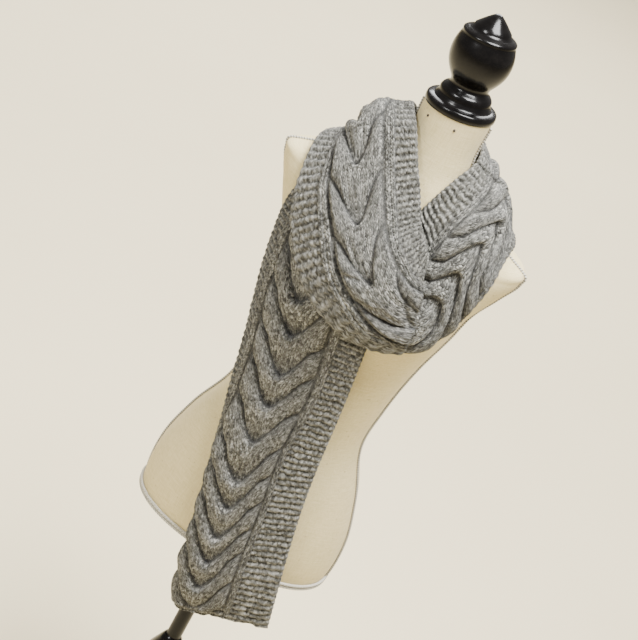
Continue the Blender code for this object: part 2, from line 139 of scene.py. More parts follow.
# ---------------------------------------------------------------- nodes
class Bench:
    """Short names for laying out one material's shader nodes."""

    def __init__(self, name: str) -> None:
        """Start an empty material with a Principled shader and its output."""
        self.material = bpy.data.materials.new(name)
        self.material.use_nodes = True
        self.tree = self.material.node_tree
        self.shader = self.tree.nodes["Principled BSDF"]

    def feed(self, socket: bpy.types.NodeSocket, value: object) -> None:
        """Link a socket, or set a plain number or colour, on an input."""
        if isinstance(value, bpy.types.NodeSocket):
            self.tree.links.new(value, socket)
        else:
            socket.default_value = value

    def node(self, kind: str, inputs: dict | None = None, **settings: object) -> bpy.types.Node:
        """Add a node.

        Args:
            kind: Blender's node type.
            inputs: Input names or numbers, each with a value or an output socket.
            **settings: The node's own settings.

        Returns:
            The new node.
        """
        made = self.tree.nodes.new(kind)
        for name, value in settings.items():
            setattr(made, name, value)
        for name, value in (inputs or {}).items():
            self.feed(made.inputs[name], value)
        return made

    def math(self, operation: str, *values: object) -> bpy.types.NodeSocket:
        """The result of one Math node."""
        made = self.tree.nodes.new("ShaderNodeMath")
        made.operation = operation
        for socket, value in zip(made.inputs, values):
            self.feed(socket, value)
        return made.outputs[0]

    def mixed(self, share: object, low: object, high: object, blend: str = "MIX") -> bpy.types.NodeSocket:
        """A colour between two others."""
        made = self.node("ShaderNodeMix", data_type="RGBA", blend_type=blend)
        self.feed(made.inputs[0], share)
        self.feed(made.inputs[6], low)
        self.feed(made.inputs[7], high)
        return made.outputs[2]

    def noise(self, vector: object, scale: float, detail: float = 2.0,
              rough: float = 0.5) -> bpy.types.NodeSocket:
        """Noise between 0 and 1."""
        inputs = {"Vector": vector, "Scale": scale, "Detail": detail, "Roughness": rough}
        return self.node("ShaderNodeTexNoise", inputs).outputs["Fac"]

    def spread(self, value: object, low: float, high: float) -> bpy.types.NodeSocket:
        """A value stretched so that low becomes 0 and high becomes 1, and held there."""
        made = self.node("ShaderNodeMapRange", {"Value": value, "From Min": low, "From Max": high})
        return made.outputs["Result"]

    def stretched(self, vector: object, scale: Sequence[float]) -> bpy.types.NodeSocket:
        """A vector with each axis scaled."""
        return self.node("ShaderNodeMapping", {"Vector": vector, "Scale": tuple(scale)}).outputs[0]

    def place(self) -> bpy.types.NodeSocket:
        """Object coordinates."""
        return self.node("ShaderNodeTexCoord").outputs["Object"]

    def bump(self, height: object, strength: float, depth: float) -> None:
        """Raise the surface by a height that runs from 0 to 1."""
        inputs = {"Height": height, "Strength": strength, "Distance": depth}
        made = self.node("ShaderNodeBump", inputs)
        self.feed(self.shader.inputs["Normal"], made.outputs[0])

    def settle(self, **values: object) -> bpy.types.Material:
        """Set the shader's own inputs, spaces written as underscores, and return the material."""
        for name, value in values.items():
            self.feed(self.shader.inputs[name.replace("_", " ")], value)
        return self.material


def colour(red: float, green: float, blue: float) -> tuple[float, float, float, float]:
    """A colour given as it looks on a screen, 0 to 255, made linear."""
    linear = [((part / 255.0 + 0.055) / 1.055) ** 2.4 if part > 10 else part / 255.0 / 12.92
              for part in (red, green, blue)]
    return (linear[0], linear[1], linear[2], 1.0)


@dataclass(frozen=True)
class HeatherKnit:
    """Marled grey wool knit: drawn stitches, mixed fibres, painted shade in the hollows and between the
    stitches, and a soft bloom.
    """

    name: str = "chunky_heather_wool"
    dark: tuple = (60, 59, 55)
    middle: tuple = (122, 121, 114)
    light: tuple = (186, 184, 175)
    # Colour of the painted shade in the hollows and between the stitches.
    recess_shade: tuple = (19, 18, 16)
    lean: float = 1.5
    bump_depth: float = 2.6 * MM

    def stitches(self, bench: Bench, across: object, along: object, knit: object) -> tuple:
        """Height and tone of the drawn stitches.

        Args:
            bench: The material's bench.
            across: Stitch count across the fabric.
            along: Row count along the fabric.
            knit: 1 where knit stitches show and 0 where garter ridges do.

        Returns:
            Height between 0 and 1, and each stitch leg's own chance tone between 0 and 1.
        """
        aside = bench.math("ABSOLUTE", bench.math("SUBTRACT", bench.math("FRACT", across), 0.5))
        slanted = bench.math("SUBTRACT", along, bench.math("MULTIPLY", aside, self.lean))
        row = bench.math("FRACT", slanted)
        hump = bench.math("MULTIPLY", bench.math("MULTIPLY", row, bench.math("SUBTRACT", 1.0, row)), 4.0)
        leg = bench.math("SUBTRACT", bench.math("MULTIPLY", aside, 4.0), 1.0)
        leg = bench.math("SUBTRACT", 1.0, bench.math("MULTIPLY", leg, leg))
        drawn = bench.math("POWER", bench.math("MAXIMUM", bench.math("MULTIPLY", hump, leg), 0.0), 0.55)
        wave = bench.math("MULTIPLY",
                          bench.math("COSINE", bench.math("MULTIPLY", across, 2.0 * math.pi)), 0.16)
        course = bench.math("ADD", bench.math("MULTIPLY_ADD", along, 0.5, 0.5), wave)
        ridge = bench.math("FRACT", course)
        ridge = bench.math("MULTIPLY", bench.math("MULTIPLY", ridge, bench.math("SUBTRACT", 1.0, ridge)), 4.0)
        ridge = bench.math("MULTIPLY_ADD", bench.math("POWER", ridge, 0.8), 0.5, 0.28)
        height = bench.math("ADD", bench.math("MULTIPLY", drawn, knit),
                            bench.math("MULTIPLY", ridge, bench.math("SUBTRACT", 1.0, knit)))
        counts = bench.node("ShaderNodeCombineXYZ", {
            0: bench.math("FLOOR", bench.math("MULTIPLY", across, 2.0)), 1: bench.math("FLOOR", slanted),
            2: bench.math("FLOOR", course),
        }).outputs[0]
        chance = bench.node("ShaderNodeTexWhiteNoise", {"Vector": counts}).outputs["Value"]
        return height, chance

    def material(self) -> bpy.types.Material:
        """The finished material."""
        bench = Bench(self.name)
        laid = bench.node("ShaderNodeUVMap", uv_map="stitches").outputs[0]
        parts = bench.node("ShaderNodeSeparateXYZ", {"Vector": laid})
        knit = bench.node("ShaderNodeAttribute", attribute_name="knit").outputs["Fac"]
        recess_shade = bench.node("ShaderNodeAttribute", attribute_name="recess_shade").outputs["Fac"]
        place = bench.place()
        wobble = bench.math("MULTIPLY", bench.math("SUBTRACT", bench.noise(place, 110.0, 2.0), 0.5), 0.7)
        across = bench.math("ADD", parts.outputs[0], wobble)
        stitch, chance = self.stitches(bench, across, bench.math("ADD", parts.outputs[1], wobble), knit)
        fibre = bench.noise(bench.stretched(laid, (1.9, 0.8, 1.0)), 1.0, 4.0, 0.7)
        fuzz = bench.noise(place, 420.0, 3.0, 0.7)
        fleck = bench.noise(place, 190.0, 2.0, 0.6)
        patch = bench.noise(place, 26.0, 2.0)
        height = bench.math("ADD", bench.math("MULTIPLY", stitch, 0.8), bench.math("MULTIPLY", fuzz, 0.45))
        height = bench.math("ADD", height, bench.math("MULTIPLY", fibre, 0.5))
        bench.bump(height, 1.0, self.bump_depth)
        mixed = bench.math("ADD", bench.math("MULTIPLY", fibre, 0.46), bench.math("MULTIPLY", fleck, 0.34))
        mixed = bench.math("ADD", mixed, bench.math("MULTIPLY", chance, 0.20))
        tone = bench.mixed(bench.spread(mixed, 0.36, 0.50), colour(*self.dark), colour(*self.middle))
        tone = bench.mixed(bench.spread(mixed, 0.50, 0.66), tone, colour(*self.light))
        tone = bench.mixed(bench.spread(patch, 0.3, 0.7), tone, bench.mixed(0.16, tone, colour(*self.dark)))
        tone = bench.mixed(bench.math("MULTIPLY", bench.math("SUBTRACT", 1.0, knit), 0.32),
                           tone, colour(*self.dark))
        # Painted shade between the stitches: the lower a point lies in its stitch, the darker its colour.
        drawn = bench.spread(stitch, 0.0, 0.6)
        tone = bench.mixed(bench.math("SUBTRACT", 0.80, bench.math("MULTIPLY", drawn, 0.80)), tone,
                           colour(*self.recess_shade))
        # Painted shade in the hollows of the relief.
        tone = bench.mixed(bench.math("MULTIPLY", recess_shade, 0.80), tone, colour(*self.recess_shade))
        return bench.settle(Base_Color=tone, Roughness=0.95, Sheen_Weight=0.12, Sheen_Roughness=0.5,
                            Specular_IOR_Level=0.12)


@dataclass(frozen=True)
class Canvas:
    """Unbleached canvas with a plain weave, uneven threads and small brown slubs."""

    name: str = "unbleached_canvas"

    def material(self) -> bpy.types.Material:
        """The finished material."""
        bench = Bench(self.name)
        place = bench.place()
        warp = bench.noise(bench.stretched(place, (900.0, 900.0, 60.0)), 1.0, 2.0)
        weft = bench.noise(bench.stretched(place, (60.0, 60.0, 900.0)), 1.0, 2.0)
        weave = bench.math("ADD", bench.math("MULTIPLY", warp, 0.5), bench.math("MULTIPLY", weft, 0.5))
        slub = bench.spread(bench.noise(bench.stretched(place, (160.0, 160.0, 330.0)), 1.0, 1.0), 0.735, 0.78)
        cloud = bench.noise(place, 9.0, 3.0)
        tone = bench.mixed(bench.spread(weave, 0.35, 0.65), colour(207, 190, 139), colour(228, 212, 164))
        tone = bench.mixed(bench.math("MULTIPLY", bench.spread(cloud, 0.35, 0.75), 0.3),
                           tone, colour(200, 184, 140))
        tone = bench.mixed(bench.math("MULTIPLY", slub, 0.6), tone, colour(140, 112, 76))
        bench.bump(weave, 0.45, 0.5 * MM)
        return bench.settle(Base_Color=tone, Roughness=0.88, Sheen_Weight=0.1, Specular_IOR_Level=0.25)


@dataclass(frozen=True)
class Thread:
    """Cotton cord or thread in one colour, with the twist of its plies."""

    name: str
    tone: tuple

    def material(self) -> bpy.types.Material:
        """The finished material."""
        bench = Bench(self.name)
        place = bench.place()
        ply = bench.node("ShaderNodeTexWave", {"Vector": place, "Scale": 420.0, "Distortion": 2.0},
                         bands_direction="DIAGONAL").outputs["Fac"]
        lint = bench.noise(place, 500.0, 2.0)
        darker = tuple(part * 0.78 for part in self.tone)
        # Darker along the grooves between the plies as painted shade; the lint noise adds uneven tone.
        tone = bench.mixed(bench.math("MULTIPLY", bench.math("ADD", ply, lint), 0.5), colour(*darker),
                           colour(*self.tone))
        bench.bump(ply, 0.5, 0.4 * MM)
        return bench.settle(Base_Color=tone, Roughness=0.85, Sheen_Weight=0.15)


@dataclass(frozen=True)
class BlackPaint:
    """Black paint on turned wood or steel, with faint brushing and dust."""

    name: str
    roughness: float
    coat: float
    shine: float

    def material(self) -> bpy.types.Material:
        """The finished material."""
        bench = Bench(self.name)
        place = bench.place()
        grain = bench.noise(bench.stretched(place, (40.0, 40.0, 300.0)), 1.0, 3.0)
        dust = bench.noise(place, 60.0, 4.0, 0.7)
        tone = bench.mixed(bench.spread(dust, 0.45, 0.8), colour(7, 6, 6), colour(18, 16, 15))
        rough = bench.node("ShaderNodeMapRange", {"Value": dust, "To Min": self.roughness * 0.8,
                                                  "To Max": self.roughness * 1.5}).outputs["Result"]
        bench.bump(grain, 0.08, 0.3 * MM)
        return bench.settle(Base_Color=tone, Roughness=rough, Coat_Weight=self.coat, Coat_Roughness=0.12,
                            Specular_IOR_Level=self.shine)


@dataclass(frozen=True)
class PaleFloor:
    """Plain pale floor."""

    name: str = "pale_floor"

    def material(self) -> bpy.types.Material:
        """The finished material."""
        bench = Bench(self.name)
        cloud = bench.noise(bench.place(), 2.0, 3.0)
        tone = bench.mixed(cloud, colour(237, 222, 184), colour(243, 229, 192))
        return bench.settle(Base_Color=tone, Roughness=0.9, Specular_IOR_Level=0.1)


class Finish(Enum):
    """The finishes that pieces choose from, each with the record's slot for it."""

    KNIT = ("heather_knit", HeatherKnit())
    CANVAS = ("canvas", Canvas())
    CORD = ("trim", Thread("off_white_cord", (226, 221, 206)))
    STITCH = ("trim", Thread("grey_stitching", (92, 85, 72)))
    TACK = ("trim", Thread("dark_tack", (52, 44, 36)))
    WOOD = ("black_wood", BlackPaint("black_lacquer", 0.20, 0.12, 0.20))
    METAL = ("black_metal", BlackPaint("black_satin_steel", 0.30, 0.05, 0.14))

    def dress(self, piece: bpy.types.Object) -> None:
        """Give a piece this finish's material, made once and shared."""
        made = bpy.data.materials.get(self.value[1].name) or self.value[1].material()
        piece.data.materials.clear()
        piece.data.materials.append(made)


def handed_over(name: str, mesh: bpy.types.Mesh, finish: Finish,
                stands_for: Iterable[str] = ()) -> bpy.types.Object:
    """Put a finished mesh in the scene as a piece of the object.

    Args:
        name: The piece's name.
        mesh: Its mesh, with its place in it.
        finish: What it is finished in.
        stands_for: CAD nodes that it replaces.

    Returns:
        The piece.
    """
    piece = bpy.data.objects.new(name, mesh)
    bpy.context.scene.collection.objects.link(piece)
    finish.dress(piece)
    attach(piece, BODY)
    if stands_for:
        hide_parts(*stands_for)
    LOG.info("%s: %d faces", name, len(mesh.polygons))
    return piece


def smooth_mesh(name: str, shape: bmesh.types.BMesh, outward: bool = True) -> bpy.types.Mesh:
    """Finish a bmesh as a smooth-shaded mesh, with its faces turned outwards."""
    if outward:
        bmesh.ops.recalc_face_normals(shape, faces=shape.faces)
    for face in shape.faces:
        face.smooth = True
    mesh = bpy.data.meshes.new(name)
    shape.to_mesh(mesh)
    shape.free()
    return mesh


# ---------------------------------------------------------------- the dress form's shape
@dataclass(frozen=True)
class TorsoShape:
    """The form's outline: one row for each level, above the hem."""

    # height, half width, depth in front, depth behind, squareness
    sections: tuple = (
        (0.000, 0.156, 0.098, 0.106, 2.2),
        (0.030, 0.159, 0.102, 0.114, 2.2),
        (0.080, 0.157, 0.101, 0.119, 2.2),
        (0.150, 0.139, 0.095, 0.108, 2.2),
        (0.237, 0.107, 0.086, 0.080, 2.1),
        (0.300, 0.110, 0.090, 0.078, 2.1),
        (0.385, 0.123, 0.104, 0.088, 2.1),
        (0.455, 0.141, 0.124, 0.098, 2.1),
        (0.500, 0.151, 0.118, 0.103, 2.1),
        (0.545, 0.172, 0.100, 0.104, 2.1),
        (0.580, 0.187, 0.082, 0.098, 2.1),
        (0.592, 0.187, 0.076, 0.094, 2.1),
        (0.604, 0.160, 0.069, 0.087, 2.1),
        (0.620, 0.120, 0.061, 0.077, 2.0),
        (0.638, 0.085, 0.056, 0.066, 2.0),
        (0.660, 0.060, 0.051, 0.056, 2.0),
        (0.690, 0.050, 0.048, 0.049, 2.0),
        (0.750, 0.048, 0.048, 0.048, 2.0),
    )

    def section(self, height: np.ndarray) -> np.ndarray:
        """Half width, front depth, back depth and squareness at heights above the hem."""
        table = np.array(self.sections)
        return through(table[:, 0], table[:, 1:], np.atleast_1d(height))

    def ring(self, height: float, angles: np.ndarray, grow: float = 0.0) -> np.ndarray:
        """Points round one level.

        Args:
            height: Height above the hem.
            angles: 0 is the front and 90 degrees is +X.
            grow: How far outside the surface the points stand.

        Returns:
            One point for each angle, about the form's axis.
        """
        half_width, front, back, squareness = self.section(height)[0]
        side, ahead = np.sin(angles), np.cos(angles)
        depth = np.where(ahead > 0.0, front, back) + grow
        reach = (np.abs(side) / (half_width + grow)) ** squareness + (np.abs(ahead) / depth) ** squareness
        radius = reach ** (-1.0 / squareness)
        lift = np.clip((height / TORSO_HEIGHT - 0.92) / 0.08, 0.0, 1.0) * math.sin(FINIAL_LEAN)
        x = radius * side
        return np.stack([x, -radius * ahead, HEM_HEIGHT + height + x * lift], axis=1)

    def excess(self, where: np.ndarray) -> np.ndarray:
        """How far out points lie, as a multiple of the outline at their own level."""
        section = self.section(where[:, 2] - HEM_HEIGHT)
        depth = np.where(where[:, 1] < 0.0, section[:, 1], section[:, 2])
        power = section[:, 3]
        total = (np.abs(where[:, 0]) / section[:, 0]) ** power + (np.abs(where[:, 1]) / depth) ** power
        return total ** (1.0 / power)

    def normals(self, points: np.ndarray) -> np.ndarray:
        """Outward directions from the form at points near it."""
        small = 4.0 * MM
        slope = [self.excess(points + small * axis) - self.excess(points - small * axis)
                 for axis in np.eye(3)]
        return unit(np.stack(slope, axis=1))


# ---------------------------------------------------------------- the scarf's way round the form
@dataclass(frozen=True)
class ScarfRoute:
    """Sections across the strip, from the front tail's end to the back tail's end.

    Each row gives the edge nearest the neck, the line where the outer border turns away, the
    outer border's own edge, and how far the middle stands proud.
    """

    # neck x, y, z,             fold x, y, z,              edge x, y, z,              crown
    lower: tuple = (
        ((0.128, -0.106, 0.552), (-0.003, -0.110, 0.504), (0.004, -0.094, 0.506), 0.004),
        ((0.115, -0.110, 0.616), (-0.018, -0.118, 0.566), (-0.020, -0.108, 0.570), 0.006),
        ((0.098, -0.106, 0.693), (-0.032, -0.118, 0.640), (-0.038, -0.109, 0.644), 0.008),
        ((0.085, -0.104, 0.764), (-0.046, -0.112, 0.717), (-0.054, -0.097, 0.720), 0.010),
        ((0.076, -0.102, 0.833), (-0.062, -0.106, 0.790), (-0.072, -0.088, 0.793), 0.012),
        ((0.070, -0.104, 0.903), (-0.076, -0.098, 0.866), (-0.090, -0.081, 0.868), 0.012),
        ((0.064, -0.110, 0.970), (-0.088, -0.094, 0.935), (-0.104, -0.074, 0.938), 0.010),
        ((0.058, -0.118, 1.030), (-0.102, -0.090, 1.003), (-0.121, -0.066, 1.006), 0.008),
        ((0.050, -0.122, 1.088), (-0.114, -0.082, 1.062), (-0.133, -0.062, 1.066), 0.006),
        ((0.028, -0.104, 1.150), (-0.117, -0.074, 1.125), (-0.136, -0.058, 1.128), 0.004),
        ((-0.004, -0.074, 1.210), (-0.111, -0.060, 1.176), (-0.127, -0.048, 1.176), 0.002),
        ((-0.034, -0.050, 1.252), (-0.107, -0.032, 1.214), (-0.122, -0.026, 1.208), 0.000),
        ((-0.052, -0.012, 1.286), (-0.106, 0.006, 1.224), (-0.123, 0.010, 1.214), 0.000),
        ((-0.050, 0.026, 1.304), (-0.096, 0.050, 1.222), (-0.113, 0.058, 1.206), 0.000),
        ((-0.029, 0.048, 1.314), (-0.070, 0.082, 1.210), (-0.087, 0.092, 1.184), 0.004),
        ((0.000, 0.056, 1.320), (0.000, 0.094, 1.204), (0.000, 0.106, 1.172), 0.006),
        ((0.029, 0.048, 1.318), (0.070, 0.080, 1.208), (0.090, 0.092, 1.182), 0.004),
        ((0.047, 0.024, 1.310), (0.106, 0.048, 1.232), (0.132, 0.056, 1.210), 0.004),
        ((0.053, -0.006, 1.298), (0.128, 0.014, 1.234), (0.150, 0.020, 1.214), 0.012),
        ((0.044, -0.034, 1.276), (0.138, -0.028, 1.216), (0.153, -0.014, 1.208), 0.017),
        ((0.036, -0.048, 1.252), (0.145, -0.066, 1.186), (0.154, -0.052, 1.188), 0.019),
        ((0.028, -0.060, 1.228), (0.140, -0.078, 1.148), (0.148, -0.062, 1.148), 0.018),
        ((0.022, -0.070, 1.206), (0.130, -0.090, 1.110), (0.136, -0.074, 1.106), 0.016),
        ((0.020, -0.082, 1.184), (0.116, -0.106, 1.080), (0.118, -0.094, 1.072), 0.016),
        ((0.024, -0.090, 1.166), (0.088, -0.118, 1.060), (0.088, -0.110, 1.050), 0.014),
    )
    upper: tuple = (
        ((0.064, -0.106, 1.186), (0.100, -0.130, 1.066), (0.101, -0.122, 1.053), 0.014),
        ((0.062, -0.106, 1.194), (0.056, -0.140, 1.055), (0.053, -0.132, 1.042), 0.016),
        ((0.058, -0.104, 1.202), (0.014, -0.148, 1.064), (0.010, -0.142, 1.048), 0.016),
        ((0.051, -0.099, 1.207), (-0.020, -0.146, 1.084), (-0.028, -0.142, 1.060), 0.016),
        ((0.041, -0.088, 1.213), (-0.046, -0.138, 1.108), (-0.066, -0.132, 1.080), 0.014),
        ((0.026, -0.076, 1.230), (-0.072, -0.122, 1.142), (-0.098, -0.114, 1.110), 0.012),
        ((0.011, -0.067, 1.252), (-0.092, -0.106, 1.170), (-0.120, -0.098, 1.138), 0.010),
        ((-0.004, -0.060, 1.272), (-0.106, -0.090, 1.194), (-0.134, -0.082, 1.168), 0.008),
        ((-0.018, -0.054, 1.294), (-0.114, -0.066, 1.216), (-0.142, -0.060, 1.196), 0.009),
        ((-0.032, -0.045, 1.314), (-0.120, -0.034, 1.229), (-0.149, -0.026, 1.212), 0.013),
        ((-0.052, -0.008, 1.322), (-0.120, 0.020, 1.234), (-0.148, 0.028, 1.214), 0.016),
        ((-0.056, 0.036, 1.308), (-0.112, 0.074, 1.220), (-0.136, 0.084, 1.194), 0.012),
        ((-0.038, 0.078, 1.278), (-0.106, 0.108, 1.186), (-0.124, 0.112, 1.160), 0.008),
        ((-0.012, 0.106, 1.232), (-0.102, 0.120, 1.146), (-0.120, 0.118, 1.122), 0.004),
        ((0.008, 0.116, 1.174), (-0.098, 0.118, 1.096), (-0.116, 0.112, 1.076), 0.004),
        ((0.020, 0.114, 1.106), (-0.094, 0.110, 1.040), (-0.112, 0.102, 1.026), 0.004),
        ((0.030, 0.106, 1.040), (-0.088, 0.102, 0.984), (-0.106, 0.094, 0.972), 0.004),
        ((0.037, 0.098, 0.970), (-0.082, 0.096, 0.922), (-0.100, 0.089, 0.912), 0.004),
        ((0.042, 0.096, 0.904), (-0.076, 0.094, 0.862), (-0.094, 0.088, 0.854), 0.002),
    )


@dataclass(frozen=True)
class DrapeRule:
    """How a strip is laid over what is under it."""

    columns: int = 12
    section_points: int = 60
    spacing: float = 18.0 * MM
    clearance: float = 3.0 * MM
    passes: int = 6
    reach: float = 0.200


class LaidStrip:
    """One run of the strip, laid over the form and over the runs before it."""

    def __init__(self, table: tuple, joints: Sequence[int], torso: TorsoShape, under: list[BVHTree],
                 rule: DrapeRule = DrapeRule()) -> None:
        """Lay the run down.

        Args:
            table: Section rows.
            joints: Rows at which the run starts, passes from stretch to stretch, and ends.
            torso: The form's shape, for the directions that lead away from it.
            under: Solids that the run lies on.
            rule: How it is laid.
        """
        self.table, self.rule, self.torso = table, rule, torso
        rows = lengths_along(np.array([(np.array(neck) + np.array(fold)) / 2.0
                                       for neck, fold, _, _ in table]))
        self.rows = rows
        at = [rows[joints[0]]]
        for first, last in zip(joints, joints[1:]):
            count = int(round((rows[last] - rows[first]) / rule.spacing))
            at.extend(np.linspace(rows[first], rows[last], count + 1)[1:])
        self.at = np.array(at)
        self.share = np.linspace(0.0, 1.0, rule.columns + 1)
        self.inner = self.draped(self.sections(), under)

    def sections(self) -> np.ndarray:
        """Points across each section, from the neck's side to the edge, before they are draped."""
        neck, fold, edge, crown = (
            through(self.rows, [row[part] for row in self.table], self.at) for part in range(4)
        )
        along = unit(np.gradient(neck + fold, axis=0))
        outward = unit(np.cross(along, fold - neck))
        middle = (neck + fold) / 2.0 + outward * crown[:, None]
        grid = []
        for here in range(len(self.at)):
            control = np.stack([neck[here], middle[here], fold[here], edge[here]])
            reach = lengths_along(control)
            fine = through(reach, control, np.linspace(0.0, reach[-1], self.rule.section_points))
            spread = lengths_along(fine)
            grid.append(through(spread, fine, spread[-1] * self.share))
        return np.array(grid)

    def draped(self, grid: np.ndarray, under: list[BVHTree]) -> np.ndarray:
        """The grid, lifted clear of everything under it."""
        outward = self.torso.normals(grid.reshape(-1, 3)).reshape(grid.shape)
        lift = np.zeros(grid.shape[:2])
        for _ in range(self.rule.passes):
            for row, column in np.ndindex(lift.shape):
                point = Vector(grid[row, column] + outward[row, column] * lift[row, column])
                away = Vector(outward[row, column])
                highest = None
                for tree in under:
                    hit = tree.ray_cast(point + away * self.rule.reach, -away, 2.0 * self.rule.reach)[0]
                    if hit is not None:
                        height = (hit - point).dot(away)
                        highest = height if highest is None else max(highest, height)
                if highest is not None and highest + self.rule.clearance > 0.0:
                    lift[row, column] += highest + self.rule.clearance
            lift = np.maximum(lift, blurred(lift))
        return grid + outward * lift[..., None]

    def surface(self, at: np.ndarray, share: np.ndarray) -> np.ndarray:
        """Points of the inner face at distances along the run and shares across it."""
        lines = through(self.at, self.inner, at).transpose(1, 0, 2)
        return through(self.share, lines, share).transpose(1, 0, 2)

    def outward(self, at: np.ndarray, share: np.ndarray) -> np.ndarray:
        """Directions that lead out of the inner face."""
        step, lean = 3.0 * MM, 0.02
        along = self.surface(at + step, share) - self.surface(at - step, share)
        across = self.surface(at, share + lean) - self.surface(at, share - lean)
        return unit(np.cross(along, across))


# ---------------------------------------------------------------- the knitted pattern
@dataclass(frozen=True)
class Crease:
    """A soft trough, or a ridge where depth is negative, from one place on a stretch to another."""

    start: tuple[float, float]
    end: tuple[float, float]
    width: float
    depth: float


@dataclass
class Relief:
    """What the pattern gives at each point of a grid."""

    height: np.ndarray
    across: np.ndarray
    along: np.ndarray
    knit: np.ndarray

    def take(self, where: np.ndarray, height: np.ndarray, across: np.ndarray, along: np.ndarray,
             knit: float) -> None:
        """Set the chosen points to these values."""
        self.height = np.where(where, height, self.height)
        self.across = np.where(where, across, self.across)
        self.along = np.where(where, along, self.along)
        self.knit = np.where(where, knit, self.knit)


